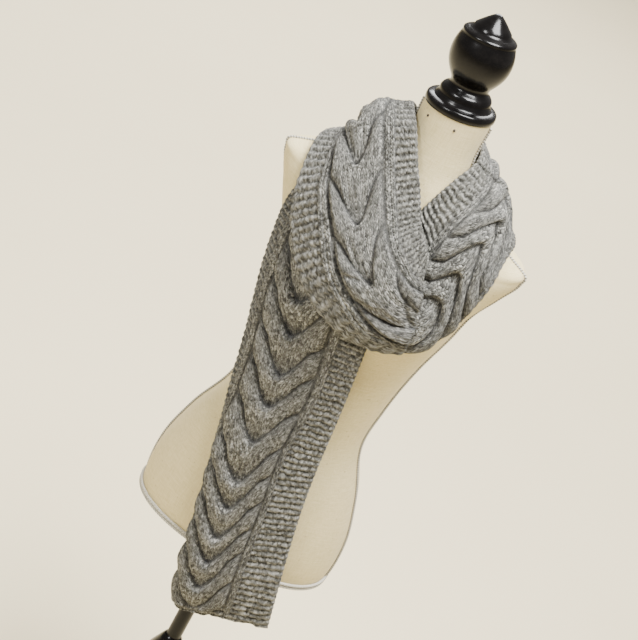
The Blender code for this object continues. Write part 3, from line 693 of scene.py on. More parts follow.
@dataclass(frozen=True)
class CablePattern:
    """Garter borders, a double knit column each side, and a horseshoe cable between them."""

    half_width: float = 95.0 * MM
    border_seam: float = 63.0 * MM
    cable_half: float = 46.0 * MM
    ditch: float = 5.0 * MM
    stitch: float = 5.75 * MM
    row: float = 4.8 * MM
    ridge: float = 9.6 * MM
    # how steeply a crease climbs from its tip, and how round the tip is, turn about
    arms: tuple = ((2.7, 18.0 * MM), (2.3, 13.0 * MM))
    low: float = 3.2 * MM
    high: float = 16.0 * MM
    turn: float = 13.0 * MM
    cast_on: float = 15.0 * MM

    def garter(self, across: np.ndarray, along: np.ndarray) -> np.ndarray:
        """Height of garter ridges, with each stitch's own bump."""
        wave = 0.5 + 0.5 * np.cos(2.0 * math.pi * along / self.ridge)
        bead = np.cos(2.0 * math.pi * across / self.stitch + math.pi * np.floor(along / self.ridge + 0.5))
        uneven = 1.0 + 0.35 * ripple(across + 0.7 * along, 6, 15.0 * MM)
        return 5.2 * MM + 3.4 * MM * wave ** 0.7 * uneven + 0.5 * MM * bead * wave

    def columns(self, across: np.ndarray) -> np.ndarray:
        """Height of the double knit column, from its place past the ditch."""
        width = (self.border_seam - self.cable_half - self.ditch) / 2.0
        place = np.mod(across, width) / width * 2.0 - 1.0
        return 6.6 * MM + 2.8 * MM * np.sqrt(np.maximum(1.0 - place ** 2, 0.0))

    def crease(self, tip: float, number: int, aside: np.ndarray) -> tuple[np.ndarray, np.ndarray]:
        """Where a crease lies along the strip, and how steeply it climbs, at distances from the middle."""
        steep, bend = self.arms[number % 2]
        past = np.maximum(aside - 31.0 * MM, 0.0)
        place = aside - 0.5 * past
        reach = np.sqrt(place ** 2 + bend ** 2)
        return tip + steep * (reach - bend), steep * place / reach * np.where(past > 0.0, 0.5, 1.0)

    def cable(self, relief: Relief, across: np.ndarray, along: np.ndarray, tips: Sequence[float]) -> None:
        """Lay the cable: bands that swing in from both sides, each diving under the next at a round crease.

        Args:
            relief: What is laid so far; it is changed.
            across: Distance from the cable's middle, negative towards the neck.
            along: Distance along the strip.
            tips: Distances at which the creases' tips lie.
        """
        aside = np.abs(across)
        swell = 1.0 + 0.07 * ripple(along + np.sign(across) * 31.0 * MM, 4, 130.0 * MM)
        for number in range(1, len(tips)):
            upper, slope = self.crease(tips[number], number, aside)
            lower, _ = self.crease(tips[number - 1], number - 1, aside)
            inside = (along <= upper) & (along > lower) & (aside < self.cable_half + 0.5 * self.ditch)
            below = np.maximum(upper - along, 0.0)
            gap = below / np.sqrt(1.0 + slope ** 2)
            part = np.clip(below / np.maximum(upper - lower, 1.0 * MM), 0.0, 1.0)
            rounding = np.sqrt(1.0 - (1.0 - np.clip(gap / (5.5 * MM), 0.0, 1.0)) ** 2)
            dive = np.clip((part - 0.25) / 0.75, 0.0, 1.0)
            tongue = rounding * (1.0 - 0.82 * dive ** 2 * (3.0 - 2.0 * dive))
            rope = np.maximum(1.0 - np.abs(2.0 * part - 1.0) ** 2.2, 0.0) ** 0.5
            arm = np.clip((aside - 11.0 * MM) / (13.0 * MM), 0.0, 1.0)
            arm = arm ** 2 * (3.0 - 2.0 * arm)
            round_up = tongue + arm * (rope - tongue)
            bold = np.where(across < 0.0, 0.85, 1.0)
            edge = np.clip((self.cable_half + 0.5 * self.ditch - aside) / (7.0 * MM), 0.0, 1.0)
            edge = np.sqrt(1.0 - (1.0 - edge) ** 2)
            height = self.low + (self.high - self.low) * swell * (1.0 - bold * (1.0 - round_up)) * edge
            floor = np.where(across < 0.0, 7.2 * MM, 5.4 * MM)
            height = np.maximum(height, floor * np.clip((aside - 40.0 * MM) / (6.0 * MM), 0.0, 1.0))
            height = height - 1.1 * MM * np.exp(-(aside / (1.8 * MM)) ** 2) * np.clip(part * 3.0, 0.0, 1.0)
            swing = np.exp(-gap / self.turn) * np.clip(aside / (9.0 * MM), 0.0, 1.0)
            count = ((1.0 - swing) * aside + swing * gap) / self.stitch + 7.0 * number + 0.5
            height = height - 0.6 * MM * np.cos(2.0 * math.pi * count) * round_up
            rows = (along + 0.5 * swing * aside) / self.row
            relief.take(inside, height, count, rows, 1.0)

    def relief(self, across: np.ndarray, along: np.ndarray, tips: Sequence[float],
               from_start: bool) -> Relief:
        """The pattern's height and stitch counts.

        Args:
            across: Distance from the cable's middle, negative towards the neck.
            along: Distance along the strip.
            tips: Distances at which the cable's tips lie.
            from_start: Whether the strip was cast on at distance 0.

        Returns:
            The relief over the same grid.
        """
        aside = np.abs(across)
        sway = (1.5 * MM * ripple(across + 0.2 * along, 3, 47.0 * MM)
                + 1.1 * MM * ripple(across - 0.6 * along, 11, 17.0 * MM))
        plain = self.garter(across, along + sway)
        laid = Relief(plain, across / self.stitch, (along + sway) / self.row, np.zeros_like(across))
        ditch = (aside > self.cable_half) & (aside < self.cable_half + self.ditch)
        laid.take(ditch, (np.where(across < 0.0, 7.0 * MM, 5.4 * MM)
                          + 0.7 * MM * np.cos(2.0 * math.pi * along / self.row)),
                  across / self.stitch, along / self.row, 0.0)
        past = aside - self.cable_half - self.ditch
        knit = (past >= 0.0) & (aside < self.border_seam)
        bead = 0.9 * MM * np.cos(2.0 * math.pi * (along / self.row - 0.25))
        laid.take(knit, self.columns(past) + bead,
                  past / (self.border_seam - self.cable_half - self.ditch) * 2.0, along / self.row, 1.0)
        self.cable(laid, across, along, tips)
        if from_start:
            laid.take(along < self.cast_on + 2.0 * MM * ripple(across, 8, 40.0 * MM), plain,
                      across / self.stitch, (along + sway) / self.row, 0.0)
        return laid


# ---------------------------------------------------------------- the scarf
@dataclass(frozen=True)
class Stretch:
    """One stretch of the strip, between two rows of its run's table."""

    node: str
    run: int
    first: int
    last: int
    cell: float
    flat_length: float
    joins: tuple[bool, bool]
    rests_on: tuple[str, ...]
    flattened: tuple[float, float, float, float] | None = None
    coarse_after: float | None = None
    creases: tuple[Crease, ...] = ()
    tuck: float = 0.0
    bulge: float = 0.0


@dataclass
class Scarf:
    """The knitted strip: five stretches that show, laid down in turn."""

    torso: TorsoShape = field(default_factory=TorsoShape)
    route: ScarfRoute = field(default_factory=ScarfRoute)
    pattern: CablePattern = field(default_factory=CablePattern)
    flat_width: float = 0.190
    edge_round: float = 4.5 * MM
    # distance, inner border, cable start, cable middle, cable end, outer border, last stitch (m)
    lower_pattern: tuple = (
        (0.000, 0.370, 0.450, 0.745, 0.965, 0.999, 0.063),
        (0.100, 0.345, 0.435, 0.710, 0.950, 0.999, 0.063),
        (0.200, 0.300, 0.375, 0.645, 0.920, 0.985, 0.066),
        (0.300, 0.280, 0.345, 0.580, 0.860, 0.930, 0.078),
        (0.400, 0.205, 0.295, 0.545, 0.800, 0.885, 0.088),
        (0.500, 0.200, 0.285, 0.535, 0.775, 0.865, 0.090),
        (0.620, 0.190, 0.280, 0.520, 0.765, 0.860, 0.090),
        (0.776, 0.170, 0.260, 0.480, 0.740, 0.830, 0.095),
        (1.031, 0.170, 0.260, 0.500, 0.740, 0.830, 0.095),
        (1.060, 0.250, 0.330, 0.575, 0.860, 0.930, 0.085),
        (1.095, 0.270, 0.350, 0.605, 0.880, 0.950, 0.080),
        (1.128, 0.280, 0.360, 0.650, 0.900, 0.960, 0.078),
        (1.165, 0.290, 0.380, 0.700, 0.930, 0.980, 0.072),
        (1.233, 0.290, 0.380, 0.710, 0.940, 0.985, 0.070),
    )
    upper_pattern: tuple = (
        (0.000, 0.250, 0.320, 0.560, 0.800, 0.870, 0.090),
        (0.020, 0.220, 0.310, 0.540, 0.740, 0.860, 0.092),
        (0.060, 0.195, 0.300, 0.505, 0.670, 0.800, 0.095),
        (0.090, 0.190, 0.290, 0.480, 0.645, 0.775, 0.095),
        (0.130, 0.185, 0.290, 0.465, 0.625, 0.750, 0.095),
        (0.160, 0.185, 0.290, 0.465, 0.640, 0.750, 0.095),
        (0.200, 0.185, 0.295, 0.480, 0.680, 0.770, 0.095),
        (0.243, 0.185, 0.300, 0.490, 0.700, 0.790, 0.095),
        (0.330, 0.170, 0.260, 0.500, 0.740, 0.830, 0.095),
        (0.750, 0.170, 0.260, 0.500, 0.740, 0.830, 0.095),
    )
    lower_tips: tuple = (
        -0.040, 0.008, 0.057, 0.102, 0.145, 0.193, 0.237, 0.302, 0.360, 0.412, 0.475, 0.530, 0.585, 0.642,
        0.697, 0.752, 0.809, 0.862, 0.917, 0.970, 1.022, 1.062, 1.096, 1.130, 1.167, 1.212, 1.262, 1.31,
    )
    upper_tips: tuple = (
        -0.170, -0.095, -0.015, 0.058, 0.131, 0.209, 0.268, 0.322, 0.379, 0.433, 0.490, 0.543, 0.599,
        0.652, 0.706, 0.760, 0.815,
    )
    stretches: tuple = (
        Stretch("front_tail", 0, 0, 12, 1.75 * MM, 0.78, (False, True), ("torso",),
                (0.520, 0.130, 10.5 * MM, 9.0), 0.66,
                (Crease((0.300, 0.97), (0.420, 0.90), 4.0 * MM, 3.0 * MM),), 12.0 * MM, -2.2 * MM),
        Stretch("nape_wrap", 0, 12, 18, 2.0 * MM, 0.26, (True, True), ("torso",),
                (0.70, 0.0, 10.5 * MM, 0.93)),
        Stretch("chest_left", 1, 18, 24, 1.25 * MM, 0.22, (True, False), ("torso", "front_tail"), creases=(
            Crease((1.203, 0.62), (1.215, 0.42), 2.4 * MM, 5.0 * MM),
            Crease((1.214, 0.44), (1.223, 0.22), 2.4 * MM, 4.5 * MM),
            Crease((1.193, 0.56), (1.206, 0.34), 2.2 * MM, 4.0 * MM),
            Crease((1.184, 0.50), (1.196, 0.31), 2.2 * MM, 3.0 * MM),
            Crease((1.060, 0.30), (1.090, 0.38), 5.0 * MM, 2.0 * MM),
        )),
        Stretch("chest_right", 2, 0, 9, 1.25 * MM, 0.26, (False, True),
                ("front_tail", "chest_left"), creases=(
            Crease((0.020, 0.30), (0.015, 0.48), 2.6 * MM, 6.5 * MM),
            Crease((0.015, 0.46), (0.002, 0.64), 3.0 * MM, 6.0 * MM),
            Crease((0.009, 0.26), (0.005, 0.42), 2.2 * MM, 4.0 * MM),
            Crease((0.062, 0.71), (0.036, 0.61), 3.0 * MM, 5.0 * MM),
            Crease((0.036, 0.61), (0.012, 0.67), 3.0 * MM, 4.0 * MM),
            Crease((0.084, 0.67), (0.060, 0.52), 2.8 * MM, 4.5 * MM),
            Crease((0.006, 0.88), (0.034, 0.72), 4.0 * MM, 3.5 * MM),
            Crease((0.028, 0.55), (0.010, 0.60), 5.0 * MM, -2.5 * MM),
        ), tuck=9.0 * MM, bulge=9.0 * MM),
        Stretch("back_tail", 2, 9, 17, 2.0 * MM, 0.48, (True, False), ("torso", "nape_wrap"), creases=(
            Crease((0.300, 0.20), (0.330, 0.70), 6.0 * MM, 3.0 * MM),
            Crease((0.345, 0.15), (0.380, 0.60), 7.0 * MM, 2.5 * MM),
        )),
    )

    def tree(self, nodes: Iterable[str]) -> list[BVHTree]:
        """Search trees of CAD nodes, about the form's axis."""
        trees = []
        for name in nodes:
            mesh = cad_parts[name].data
            points = [vertex.co - Vector((0.0, AXIS_Y, 0.0)) for vertex in mesh.vertices]
            trees.append(BVHTree.FromPolygons(points, [tuple(face.vertices) for face in mesh.polygons]))
        return trees

    def lay(self) -> list[LaidStrip]:
        """Lay the three runs of the strip, each over what is already there."""
        lower, upper = self.route.lower, self.route.upper
        return [
            LaidStrip(lower, (0, 12, 18), self.torso, self.tree(("torso",))),
            LaidStrip(lower, (18, 24), self.torso, self.tree(("torso", "front_tail"))),
            LaidStrip(upper, (0, 9, 17), self.torso,
                      self.tree(("torso", "front_tail", "nape_wrap", "chest_left"))),
        ]

    def shares(self, strip: LaidStrip, stretch: Stretch) -> np.ndarray:
        """Places across the strip, close together at its two rounded edges."""
        width = float(lengths_along(strip.inner[len(strip.inner) // 2])[-1])
        near = np.array([0.0, 0.3, 0.9, 1.8, 3.0]) * MM / width
        count = int((width - 8.0 * MM) / stretch.cell)
        middle = np.linspace(4.2 * MM / width, 1.0 - 4.2 * MM / width, count)
        return np.concatenate([near, middle, 1.0 - near[::-1]])

    def distances(self, strip: LaidStrip, stretch: Stretch) -> np.ndarray:
        """Places along the strip, close together at a free end and far apart where nothing shows."""
        start, end = strip.rows[stretch.first], strip.rows[stretch.last]
        start += 0.0 if not stretch.joins[0] else SEAM_GAP / 2.0
        end -= 0.0 if not stretch.joins[1] else SEAM_GAP / 2.0
        near = np.array([0.0, 0.3, 0.9, 1.8, 3.0]) * MM
        first = start + 4.2 * MM if not stretch.joins[0] else start
        last = end - 4.2 * MM if not stretch.joins[1] else end
        if stretch.coarse_after is None:
            middle = np.linspace(first, last, int((last - first) / stretch.cell))
        else:
            shown = np.linspace(first, stretch.coarse_after,
                                int((stretch.coarse_after - first) / stretch.cell))
            hidden = np.linspace(stretch.coarse_after, last,
                                 int((last - stretch.coarse_after) / 4.5 / MM))
            middle = np.concatenate([shown, hidden[1:]])
        parts = ([] if stretch.joins[0] else [start + near]) + [middle]
        parts += [] if stretch.joins[1] else [end - near[::-1]]
        return np.concatenate(parts)

    def pattern_place(self, stretch: Stretch, at: np.ndarray, share: np.ndarray) -> np.ndarray:
        """Distance from the cable's middle at each grid point."""
        table = np.array(self.lower_pattern if stretch.run < 2 else self.upper_pattern)
        marks = through(table[:, 0], table[:, 1:], at)
        seam, half = self.pattern.border_seam, self.pattern.cable_half
        place = np.empty((len(at), len(share)))
        for row, mark in enumerate(marks):
            stops = np.concatenate([[0.0], mark[:5], [1.0]])
            values = (-self.pattern.half_width, -seam, -half, 0.0, half,
                      min(seam, mark[5] - 0.1 * MM), mark[5])
            place[row] = np.interp(share, stops, values)
        return place

    def folds(self, stretch: Stretch, at: np.ndarray, share: np.ndarray) -> np.ndarray:
        """How far the creases push each grid point in."""
        total = np.zeros((len(at), len(share)))
        along, across = np.meshgrid(at, share * self.flat_width, indexing="ij")
        for crease in stretch.creases:
            start = np.array([crease.start[0], crease.start[1] * self.flat_width])
            line = np.array([crease.end[0], crease.end[1] * self.flat_width]) - start
            part = ((along - start[0]) * line[0] + (across - start[1]) * line[1]) / (line @ line)
            part = np.clip(part, 0.0, 1.0)
            aside = np.hypot(along - start[0] - part * line[0], across - start[1] - part * line[1])
            fade = 0.35 + 0.65 * np.sin(math.pi * np.clip(part, 0.0, 1.0))
            total += crease.depth * fade * np.exp(-(aside / crease.width) ** 2)
        return total

    def rounding(self, stretch: Stretch, at: np.ndarray, width: float, share: np.ndarray) -> np.ndarray:
        """1 inside the strip, falling to 0 at its rounded edges and free ends."""
        across = np.minimum(share, 1.0 - share) * width
        edge = np.sqrt(1.0 - (1.0 - np.clip(across / self.edge_round, 0.0, 1.0)) ** 2)
        along = np.full(len(at), np.inf)
        if not stretch.joins[0]:
            along = np.minimum(along, at - at[0])
        if not stretch.joins[1]:
            along = np.minimum(along, at[-1] - at)
        end = np.sqrt(1.0 - (1.0 - np.clip(along / self.edge_round, 0.0, 1.0)) ** 2)
        return end[:, None] * edge[None, :]

    def build_stretch(self, strip: LaidStrip, stretch: Stretch) -> bpy.types.Object:
        """Make one stretch as a closed shell with the knitted relief on both faces."""
        at, share = self.distances(strip, stretch), self.shares(strip, stretch)
        width = float(lengths_along(strip.inner[len(strip.inner) // 2])[-1])
        base, outward = strip.surface(at, share), strip.outward(at, share)
        across = self.pattern_place(stretch, at, share)
        along = np.repeat(at[:, None], len(share), axis=1)
        tips = self.lower_tips if stretch.run < 2 else self.upper_tips
        relief = self.pattern.relief(across, along, tips, stretch.run == 0)
        uneven = (0.5 * MM * ripple(along, 5, 47.0 * MM)
                  + 0.4 * MM * ripple(across + 0.4 * along, 9, 33.0 * MM))
        height = relief.height + uneven
        # How far each point lies below its blurred surroundings; the knit material turns this into painted
        # shade in the hollows.
        recess_shade = np.clip((blurred(height, 36) - height) / (4.6 * MM), 0.0, 1.0)
        height = blurred(height, 1)
        if stretch.flattened is not None:
            line, slant, ceiling, until = stretch.flattened
            covered = np.clip((along - line - slant * share[None, :]) / 0.03, 0.0, 1.0)
            covered = covered * np.clip((until - along) / 0.03, 0.0, 1.0)
            height = height + covered * (np.minimum(height, ceiling) - height)
        height = np.maximum(height - self.folds(stretch, at, share), 3.0 * MM)
        edge = self.rounding(stretch, at, width, share)
        sideways = unit(np.gradient(base, axis=1))
        border = np.clip(1.0 - np.minimum(share, 1.0 - share) * width / (9.0 * MM), 0.0, 1.0)
        height = height + 0.7 * border * (7.5 * MM - height)
        side = np.where(share < 0.5, -1.0, 1.0)
        scallop = 0.45 * MM * np.cos(2.0 * math.pi * along / self.pattern.ridge) * border * side
        base = base + sideways * scallop[..., None]
        ahead = unit(np.gradient(base, axis=0))
        near = np.clip(1.0 - (along - at[0]) / 0.045, 0.0, 1.0) ** 2
        tuck = near * stretch.tuck * np.clip((share[None, :] - 0.6) / 0.4, 0.0, 1.0) ** 2
        bulge = near * stretch.bulge * np.sin(math.pi * share[None, :]) ** 0.7
        sag = near * np.sign(stretch.tuck) * 2.0 * MM * ripple(share[None, :] * self.flat_width, 2, 55.0 * MM)
        base = base - sideways * tuck[..., None] + ahead * (sag - bulge)[..., None]
        middle = (height / 2.0)[..., None]
        outer = base + outward * middle * (1.0 + edge)[..., None]
        back = 0.45 * MM * np.cos(2.0 * math.pi * along / self.pattern.ridge) * edge
        inner = base + outward * (middle * (1.0 - edge)[..., None] + back[..., None])
        laid = {"across": relief.across, "along": relief.along, "knit": relief.knit, "recess_shade": recess_shade}
        if stretch.joins[0]:
            outer, inner, laid = self.closed(outer, inner, laid, 0)
        if stretch.joins[1]:
            outer, inner, laid = self.closed(outer, inner, laid, -1)
        mesh = self.shell(stretch.node + "_cloth", outer, inner, laid)
        piece = handed_over(stretch.node + "_cloth", mesh, Finish.KNIT, (stretch.node,))
        return piece

    @staticmethod
    def closed(outer: np.ndarray, inner: np.ndarray, laid: dict,
               end: int) -> tuple[np.ndarray, np.ndarray, dict]:
        """Close a joined end with one more row, midway between the two faces."""
        middle = (outer[end] + inner[end])[None] / 2.0
        order = (lambda kept, added: (added, kept)) if end == 0 else (lambda kept, added: (kept, added))
        outer = np.concatenate(order(outer, middle))
        inner = np.concatenate(order(inner, middle))
        laid = {name: np.concatenate(order(values, values[end][None])) for name, values in laid.items()}
        return outer, inner, laid

    @staticmethod
    def shell(name: str, outer: np.ndarray, inner: np.ndarray, laid: dict) -> bpy.types.Mesh:
        """Two matching grids, welded where their borders meet.

        Args:
            name: The mesh's name.
            outer: Points of the outer face, row by row.
            inner: Points of the inner face, in the same order.
            laid: Stitch counts across and along, the knit values, and how deep each point lies in a hollow,
                which sets the painted shade there.

        Returns:
            The closed mesh.
        """
        rows, columns = outer.shape[:2]
        shape = bmesh.new()
        for _ in range(2):
            bmesh.ops.create_grid(shape, x_segments=columns - 1, y_segments=rows - 1, size=0.5)
        mesh = bpy.data.meshes.new(name)
        shape.to_mesh(mesh)
        shape.free()
        count = rows * columns
        flat = np.empty(len(mesh.vertices) * 3)
        mesh.vertices.foreach_get("co", flat)
        unit_place = flat.reshape(-1, 3)
        column = np.rint((unit_place[:, 0] + 0.5) * (columns - 1)).astype(int)
        row = np.rint((unit_place[:, 1] + 0.5) * (rows - 1)).astype(int)
        index = row * columns + column
        back = np.arange(len(index)) >= count
        places = np.where(back[:, None], inner.reshape(-1, 3)[index], outer.reshape(-1, 3)[index])
        mesh.vertices.foreach_set("co", (places + np.array([0.0, AXIS_Y, 0.0])).ravel())
        # The inner face gets half of the painted shade for the hollows.
        for kind in ("knit", "recess_shade"):
            values = laid[kind].ravel()[index] * np.where(back, 0.0 if kind == "knit" else 0.5, 1.0)
            mesh.attributes.new(kind, "FLOAT", "POINT").data.foreach_set("value", values)
        counts = np.stack([laid["across"].ravel()[index], laid["along"].ravel()[index]], axis=1)
        corner = np.empty(len(mesh.loops), dtype=np.int32)
        mesh.loops.foreach_get("vertex_index", corner)
        mesh.uv_layers.new(name="stitches").data.foreach_set("uv", counts[corner].ravel())
        shape = bmesh.new()
        shape.from_mesh(mesh)
        shape.faces.ensure_lookup_table()
        bmesh.ops.reverse_faces(shape, faces=shape.faces[len(shape.faces) // 2:])
        rim = [vertex for vertex in shape.verts if vertex.is_boundary]
        bmesh.ops.remove_doubles(shape, verts=rim, dist=0.01 * MM)
        bmesh.ops.recalc_face_normals(shape, faces=shape.faces)
        for face in shape.faces:
            face.smooth = True
        shape.to_mesh(mesh)
        shape.free()
        return mesh

    def build(self) -> None:
        """Make every stretch."""
        strips = self.lay()
        for stretch in self.stretches:
            self.build_stretch(strips[stretch.run], stretch)


# ---------------------------------------------------------------- turned pieces and small pieces
def turned(name: str, profile: Sequence[tuple[float, float]], steps: int = 96) -> bmesh.types.BMesh:
    """Spin a profile about the upright axis at the origin.

    Args:
        name: For messages only.
        profile: Radius and height pairs, from one end to the other.
        steps: Facets round the axis.

    Returns:
        The closed shape.
    """
    shape = bmesh.new()
    points = [shape.verts.new((radius, 0.0, height)) for radius, height in profile]
    edges = [shape.edges.new(pair) for pair in zip(points, points[1:])]
    bmesh.ops.spin(shape, geom=points + edges, cent=(0.0, 0.0, 0.0), axis=(0.0, 0.0, 1.0),
                   angle=2.0 * math.pi, steps=steps, use_merge=True, use_duplicate=False)
    bmesh.ops.remove_doubles(shape, verts=shape.verts, dist=0.01 * MM)
    LOG.debug("%s: turned", name)
    return shape


def swept(path: np.ndarray, radius: np.ndarray, sides: int, closed: bool) -> bmesh.types.BMesh:
    """A round tube along a path, made from a grid and welded.

    Args:
        path: Points of its middle line.
        radius: Its radius at each point.
        sides: Facets round it.
        closed: Whether the path meets its own start.

    Returns:
        The closed shape.
    """
    if closed:
        along = unit(np.roll(path, -1, axis=0) - np.roll(path, 1, axis=0))
    else:
        along = unit(np.gradient(path, axis=0))
    side = unit(np.cross(along, np.array([0.21, 0.13, 0.97])))
    up = np.cross(side, along)
    turn = np.linspace(0.0, 2.0 * math.pi, sides + 1)
    ring = side[:, None] * np.cos(turn)[None, :, None] + up[:, None] * np.sin(turn)[None, :, None]
    grid = path[:, None] + ring * np.asarray(radius)[:, None, None]
    if closed:
        grid = np.concatenate([grid, grid[:1]])
    else:
        grid = np.concatenate([path[:1, None].repeat(sides + 1, axis=1), grid,
                               path[-1:, None].repeat(sides + 1, axis=1)])
    return welded_grid(grid)


def welded_grid(grid: np.ndarray) -> bmesh.types.BMesh:
    """A grid of points as a shape, welded wherever its points meet."""
    rows, columns = grid.shape[:2]
    shape = bmesh.new()
    bmesh.ops.create_grid(shape, x_segments=columns - 1, y_segments=rows - 1, size=0.5)
    for vertex in shape.verts:
        column = round((vertex.co.x + 0.5) * (columns - 1))
        row = round((vertex.co.y + 0.5) * (rows - 1))
        vertex.co = grid[row, column]
    bmesh.ops.remove_doubles(shape, verts=shape.verts, dist=0.005 * MM)
    bmesh.ops.dissolve_degenerate(shape, dist=0.001 * MM, edges=shape.edges)
    return shape


def beads(places: np.ndarray, ahead: np.ndarray, outward: np.ndarray, size: tuple[float, float, float],
          slant: float) -> bmesh.types.BMesh:
    """Small rounded stitches laid along a line.

    Args:
        places: Middle of each stitch.
        ahead: Direction of the line at each stitch.
        outward: Direction out of the surface at each stitch.
        size: Half length, half width and half height of a stitch.
        slant: Angle between the stitch and the line's crossing direction.

    Returns:
        All the stitches in one shape.
    """
    shape = bmesh.new()
    for place, front, out in zip(places, ahead, outward):
        beside = np.cross(out, front)
        length = math.cos(slant) * beside + math.sin(slant) * front
        width = np.cross(out, length)
        turn = Matrix((length, width, out)).transposed().to_4x4()
        moved = Matrix.Translation(Vector(place)) @ turn @ Matrix.Diagonal((*size, 1.0))
        bmesh.ops.create_uvsphere(shape, u_segments=6, v_segments=4, radius=1.0, matrix=moved)
    return shape


@dataclass
class DressForm:
    """The limbless form: canvas skin, whip-stitched side seams, hem braid and two tacks."""

    torso: TorsoShape = field(default_factory=TorsoShape)
    columns: int = 168
    ring_step: float = 4.0 * MM
    cord_radius: float = 1.8 * MM
    stitch_pitch: float = 3.9 * MM
    braid_heights: tuple = (3.0 * MM, 8.6 * MM)
    braid_radius: float = 2.3 * MM
    braid_pitch: float = 5.0 * MM
    hem_round: float = 4.0 * MM
    tack_angles: tuple = (-37.0, 15.0)
    tack_height: float = 0.737

    def shifted(self, points: np.ndarray) -> np.ndarray:
        """Points moved from the form's axis to their place in the frame."""
        return points + np.array([0.0, AXIS_Y, 0.0])

    def build_skin(self) -> bpy.types.Object:
        """The canvas skin, closed below and above."""
        heights = np.concatenate([
            np.array([0.0, 0.15, 0.45, 0.9]) * self.hem_round,
            np.arange(1.4 * self.hem_round, TORSO_HEIGHT, self.ring_step), [TORSO_HEIGHT],
        ])
        heights = np.unique(np.concatenate([heights, np.arange(0.576, 0.624, 1.5 * MM)]))
        angles = np.linspace(-math.pi, math.pi, self.columns + 1)
        rings = []
        for height in heights:
            inset = self.hem_round * (1.0 - math.sqrt(1.0 - max(0.0, 1.0 - height / self.hem_round) ** 2))
            rings.append(self.torso.ring(float(height), angles, -inset * 0.6))
        grid = self.shifted(np.array(rings))
        bottom = np.repeat(grid[:1].mean(axis=1, keepdims=True), grid.shape[1], axis=1)
        top = np.repeat(grid[-1:].mean(axis=1, keepdims=True), grid.shape[1], axis=1)
        lower = bottom + (grid[:1] - bottom) * 0.5
        shape = welded_grid(np.concatenate([bottom, lower, grid, top]))
        return handed_over("canvas_skin", smooth_mesh("canvas_skin", shape), Finish.CANVAS, ("torso",))

    def seam_line(self, side: float) -> np.ndarray:
        """The side seam, from the hem over the shoulder's point and up the neck."""
        angle = np.array([side * math.pi / 2.0])
        heights = np.concatenate([np.arange(0.013, 0.57, 3.0 * MM), np.arange(0.57, 0.63, 0.8 * MM),
                                  np.arange(0.63, 0.747, 2.0 * MM)])
        line = np.array([self.torso.ring(float(height), angle, 0.9 * self.cord_radius)[0]
                         for height in heights])
        reach = lengths_along(line)
        return through(reach, line, np.linspace(0.0, reach[-1], int(reach[-1] / (1.5 * MM))))

    def build_seam(self, name: str, side: float) -> None:
        """One side seam: its cord, and the stitches that whip it down."""
        line = self.shifted(self.seam_line(side))
        cord = swept(line, np.full(len(line), self.cord_radius), 8, False)
        handed_over(f"seam_cord_{name}", smooth_mesh("seam_cord", cord), Finish.CORD,
                    (f"side_piping_{name}",))
        reach = lengths_along(line)
        at = np.arange(2.0 * MM, reach[-1] - 2.0 * MM, self.stitch_pitch)
        places, ahead = through(reach, line, at), unit(through(reach, np.gradient(line, axis=0), at))
        out = self.torso.normals(places - np.array([0.0, AXIS_Y, 0.0]))
        out = unit(out - ahead * np.sum(out * ahead, axis=1, keepdims=True))
        stitches = beads(places, ahead, out, (2.9 * MM, 0.85 * MM, 2.3 * MM), math.radians(28.0) * side)
        handed_over(f"seam_stitches_{name}", smooth_mesh("seam_stitches", stitches), Finish.STITCH)

    def build_braid(self) -> None:
        """Two plaited cords round the hem, with stitches slanting across them."""
        angles = np.linspace(-math.pi, math.pi, 420, endpoint=False)
        shapes = []
        for height in self.braid_heights:
            line = self.shifted(self.torso.ring(height, angles, self.braid_radius * 0.85))
            shapes.append((line, np.full(len(line), self.braid_radius)))
        cords = bmesh.new()
        for line, radius in shapes:
            part = swept(line, radius, 8, True)
            mesh = smooth_mesh("braid_part", part)
            cords.from_mesh(mesh)
            bpy.data.meshes.remove(mesh)
        handed_over("hem_cords", smooth_mesh("hem_cords", cords), Finish.CORD, ("hem_braid",))
        stitches = bmesh.new()
        for number, (line, _) in enumerate(shapes):
            around = np.concatenate([line, line[:1]])
            reach = lengths_along(around)
            at = np.arange(0.0, reach[-1], self.braid_pitch)
            places, ahead = through(reach, around, at), unit(through(reach, np.gradient(around, axis=0), at))
            out = self.torso.normals(places - np.array([0.0, AXIS_Y, 0.0]))
            out = unit(out - ahead * np.sum(out * ahead, axis=1, keepdims=True))
            slant = math.radians(38.0) * (1.0 if number else -1.0)
            size = (self.braid_radius * 1.2, 0.8 * MM, self.braid_radius * 1.15)
            mesh = smooth_mesh("part", beads(places, ahead, out, size, slant))
            stitches.from_mesh(mesh)
            bpy.data.meshes.remove(mesh)
        handed_over("hem_stitches", smooth_mesh("hem_stitches", stitches), Finish.STITCH)

    def build_tacks(self) -> None:
        """Two small tacks that hold the canvas under the cap."""
        shape = bmesh.new()
        for angle in self.tack_angles:
            place = self.shifted(self.torso.ring(self.tack_height, np.array([math.radians(angle)])))[0]
            moved = Matrix.Translation(Vector(place)) @ Matrix.Diagonal((1.0, 1.0, 1.0, 1.0))
            bmesh.ops.create_uvsphere(shape, u_segments=14, v_segments=8, radius=1.9 * MM, matrix=moved)
        handed_over("neck_tacks", smooth_mesh("neck_tacks", shape), Finish.TACK)

    def build(self) -> None:
        """Make the whole form."""
        self.build_skin()
        self.build_seam("left", 1.0)
        self.build_seam("right", -1.0)
        self.build_braid()
        self.build_tacks()


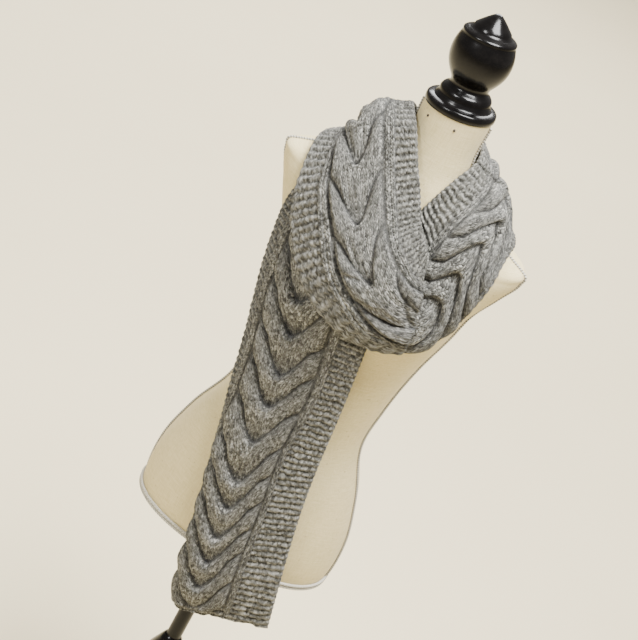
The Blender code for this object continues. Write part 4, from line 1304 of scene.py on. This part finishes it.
@dataclass(frozen=True)
class Finial:
    """The turned finial on the neck, leaning a little to the wearer's right."""

    # radius, height above the neck
    profile: tuple = (
        (0.000, 0.0000), (0.049, 0.0000), (0.0500, 0.0015), (0.0502, 0.0055), (0.0495, 0.0095),
        (0.0480, 0.0112), (0.0415, 0.0122), (0.0395, 0.0132), (0.0388, 0.0160), (0.0372, 0.0182),
        (0.0366, 0.0210), (0.0368, 0.0240), (0.0352, 0.0275), (0.0330, 0.0300), (0.0290, 0.0322),
        (0.0274, 0.0350), (0.0272, 0.0380), (0.0284, 0.0415), (0.0310, 0.0455), (0.0345, 0.0505),
        (0.0380, 0.0565), (0.0410, 0.0635), (0.0428, 0.0710), (0.0434, 0.0790), (0.0430, 0.0865),
        (0.0418, 0.0930), (0.0402, 0.0985), (0.0388, 0.1025), (0.0378, 0.1050), (0.0376, 0.1068),
        (0.0380, 0.1085), (0.0376, 0.1102), (0.0355, 0.1120), (0.0310, 0.1145), (0.0272, 0.1168),
        (0.0262, 0.1185), (0.0256, 0.1205), (0.0215, 0.1245), (0.0160, 0.1300), (0.0105, 0.1350),
        (0.0055, 0.1392), (0.0020, 0.1408), (0.0000, 0.1410),
    )

    def build(self) -> None:
        """Turn it and set it on the neck at its lean."""
        shape = turned("finial", self.profile)
        lean = Matrix.Rotation(-FINIAL_LEAN, 4, "Y")
        seat = Matrix.Translation((0.0, AXIS_Y, NECK_TOP + 2.0 * SEAM_GAP))
        bmesh.ops.transform(shape, matrix=seat @ lean, verts=shape.verts)
        handed_over("turned_finial", smooth_mesh("turned_finial", shape), Finish.WOOD, ("finial",))


@dataclass(frozen=True)
class Stand:
    """Pole, domed hub, three swept legs and their feet."""

    pole_radius: float = 12.0 * MM
    pole_foot: float = 0.300
    leg_angles: tuple = (90.0, 210.0, 330.0)
    foot_radius: float = 20.0 * MM
    foot_height: float = 12.0 * MM
    foot_reach: float = 0.290
    # radius, height above the floor
    hub: tuple = (
        (0.0, 0.2997), (0.0125, 0.2997), (0.0125, 0.3690), (0.0150, 0.3665), (0.0190, 0.3580),
        (0.0235, 0.3480), (0.0285, 0.3365), (0.0312, 0.3280), (0.0328, 0.3190), (0.0335, 0.3100),
        (0.0335, 0.3030), (0.0328, 0.2960), (0.0305, 0.2870), (0.0285, 0.2815), (0.0272, 0.2780),
        (0.0270, 0.2750), (0.0280, 0.2715), (0.0315, 0.2680), (0.0350, 0.2650), (0.0362, 0.2610),
        (0.0365, 0.2570), (0.0365, 0.1860), (0.0362, 0.1830), (0.0350, 0.1780), (0.0320, 0.1720),
        (0.0275, 0.1660), (0.0220, 0.1620), (0.0160, 0.1590), (0.0100, 0.1570), (0.0, 0.1560),
    )
    # distance from the pole, height, radius
    leg: tuple = (
        (0.0370, 0.226, 0.0130), (0.050, 0.226, 0.0130), (0.076, 0.228, 0.0130), (0.105, 0.226, 0.0128),
        (0.145, 0.204, 0.0124), (0.182, 0.166, 0.0118), (0.214, 0.120, 0.0112), (0.242, 0.074, 0.0106),
        (0.266, 0.040, 0.0104), (0.282, 0.027, 0.0104), (0.290, 0.019, 0.0110), (0.290, 0.0123, 0.0115),
    )

    def build_pole(self) -> None:
        """The pole, its ends eased."""
        top = HEM_HEIGHT - SEAM_GAP
        shape = bmesh.new()
        middle = Matrix.Translation((0.0, AXIS_Y, (top + self.pole_foot) / 2.0))
        bmesh.ops.create_cone(shape, cap_ends=True, segments=72, radius1=self.pole_radius,
                              radius2=self.pole_radius, depth=top - self.pole_foot, matrix=middle)
        rims = [edge for edge in shape.edges if edge.calc_face_angle(0.0) > 1.0]
        bmesh.ops.bevel(shape, geom=rims, offset=0.8 * MM, segments=2, profile=0.5, affect="EDGES",
                        material=-1)
        mesh = smooth_mesh("stand_pole", shape)
        mesh.set_sharp_from_angle(angle=math.radians(40.0))
        handed_over("stand_pole", mesh, Finish.METAL, ("pole",))

    def build_hub(self) -> None:
        """The turned hub, bored for the pole."""
        shape = turned("hub", self.hub)
        bmesh.ops.translate(shape, verts=shape.verts, vec=(0.0, AXIS_Y, 0.0))
        mesh = smooth_mesh("stand_hub", shape)
        mesh.set_sharp_from_angle(angle=math.radians(50.0))
        handed_over("stand_hub", mesh, Finish.WOOD, ("hub",))

    def build_leg(self, number: int, angle: float) -> None:
        """One leg and its foot."""
        route = np.array(self.leg)
        reach = lengths_along(route[:, :2])
        fine = through(reach, route, np.linspace(0.0, reach[-1], 90))
        toward = np.array([math.cos(angle), math.sin(angle), 0.0])
        line = fine[:, :1] * toward + fine[:, 1:2] * np.array([0.0, 0.0, 1.0]) + np.array([0.0, AXIS_Y, 0.0])
        shape = swept(line, fine[:, 2], 32, False)
        mesh = smooth_mesh(f"stand_leg_{number}", shape)
        mesh.set_sharp_from_angle(angle=math.radians(50.0))
        handed_over(f"stand_leg_{number}", mesh, Finish.WOOD, (f"leg_{number}",))
        high, wide = self.foot_height, self.foot_radius
        foot = turned("foot", ((0.0, 0.0), (wide - 1.5 * MM, 0.0), (wide - 0.4 * MM, 0.5 * MM),
                               (wide, 1.8 * MM), (wide, high - 3.5 * MM), (wide - 0.8 * MM, high - 1.5 * MM),
                               (wide - 2.6 * MM, high - 0.3 * MM), (wide - 4.5 * MM, high), (0.0, high)), 64)
        place = Vector(toward) * self.foot_reach + Vector((0.0, AXIS_Y, 0.0))
        bmesh.ops.translate(foot, verts=foot.verts, vec=place)
        mesh = smooth_mesh(f"stand_foot_{number}", foot)
        mesh.set_sharp_from_angle(angle=math.radians(40.0))
        handed_over(f"stand_foot_{number}", mesh, Finish.WOOD, (f"foot_{number}",))

    def build(self) -> None:
        """Make the whole stand."""
        self.build_pole()
        self.build_hub()
        for number, angle in enumerate(self.leg_angles, start=1):
            self.build_leg(number, math.radians(angle))


@dataclass(frozen=True)
class Studio:
    """Camera, soft lights and a plain pale floor."""

    distance: float = 2.427
    height: float = 2.195
    azimuth: float = math.radians(6.0)
    pitch: float = math.radians(26.7)
    aside: float = 44.0 / 3300.0
    roll: float = math.radians(28.2)
    lens: float = 107.4
    sensor: float = 36.0

    def build_camera(self) -> None:
        """A long lens looking down at the form, turned on its own axis."""
        yaw = self.azimuth + math.atan(self.aside)
        ahead = Vector((-math.sin(yaw) * math.cos(self.pitch), math.cos(yaw) * math.cos(self.pitch),
                        -math.sin(self.pitch)))
        level = Vector((math.cos(yaw), math.sin(yaw), 0.0))
        upright = level.cross(ahead)
        right = level * math.cos(self.roll) + upright * math.sin(self.roll)
        up = upright * math.cos(self.roll) - level * math.sin(self.roll)
        data = bpy.data.cameras.new("camera")
        data.lens, data.sensor_width = self.lens, self.sensor
        data.clip_start, data.clip_end = 0.05, 40.0
        camera = bpy.data.objects.new("camera", data)
        bpy.context.scene.collection.objects.link(camera)
        place = Vector((self.distance * math.sin(self.azimuth),
                        -self.distance * math.cos(self.azimuth) + AXIS_Y, self.height))
        turn = Matrix((right, up, -ahead)).transposed().to_4x4()
        camera.matrix_world = Matrix.Translation(place) @ turn
        bpy.context.scene.camera = camera

    def build_light(self, name: str, place: Sequence[float], size: float, power: float, aim: float) -> None:
        """One soft square light, aimed at a height on the form's axis."""
        data = bpy.data.lights.new(name, "AREA")
        data.shape, data.size, data.energy = "SQUARE", size, power
        lamp = bpy.data.objects.new(name, data)
        bpy.context.scene.collection.objects.link(lamp)
        lamp.location = place
        toward = Vector((0.0, AXIS_Y, aim)) - Vector(place)
        lamp.rotation_mode = "QUATERNION"
        lamp.rotation_quaternion = toward.to_track_quat("-Z", "Y")

    def build_floor(self) -> None:
        """A wide pale floor under the feet."""
        shape = bmesh.new()
        bmesh.ops.create_grid(shape, x_segments=2, y_segments=2, size=15.0)
        mesh = bpy.data.meshes.new("floor")
        shape.to_mesh(mesh)
        shape.free()
        floor = bpy.data.objects.new("floor", mesh)
        bpy.context.scene.collection.objects.link(floor)
        mesh.materials.append(PaleFloor().material())

    def build_sky(self) -> None:
        """An even pale surround."""
        world = bpy.data.worlds.new("surround")
        world.use_nodes = True
        world.node_tree.nodes["Background"].inputs["Color"].default_value = (1.0, 0.96, 0.89, 1.0)
        world.node_tree.nodes["Background"].inputs["Strength"].default_value = 0.36
        bpy.context.scene.world = world

    def build(self) -> None:
        """Set the whole studio up."""
        self.build_camera()
        self.build_light("ceiling", (0.6, -0.7, 3.6), 1.3, 270.0, 1.1)
        self.build_light("window", (-1.5, -2.2, 3.0), 0.7, 60.0, 1.2)
        self.build_light("back", (-1.0, 4.5, 4.6), 4.0, 700.0, 0.0)
        self.build_floor()
        self.build_sky()


def main() -> None:
    """Build the studio, the form, its stand and the scarf."""
    logging.basicConfig(level=logging.INFO)
    Studio().build()
    DressForm().build()
    Finial().build()
    Stand().build()
    Scarf().build()


if __name__ == "__main__":
    main()
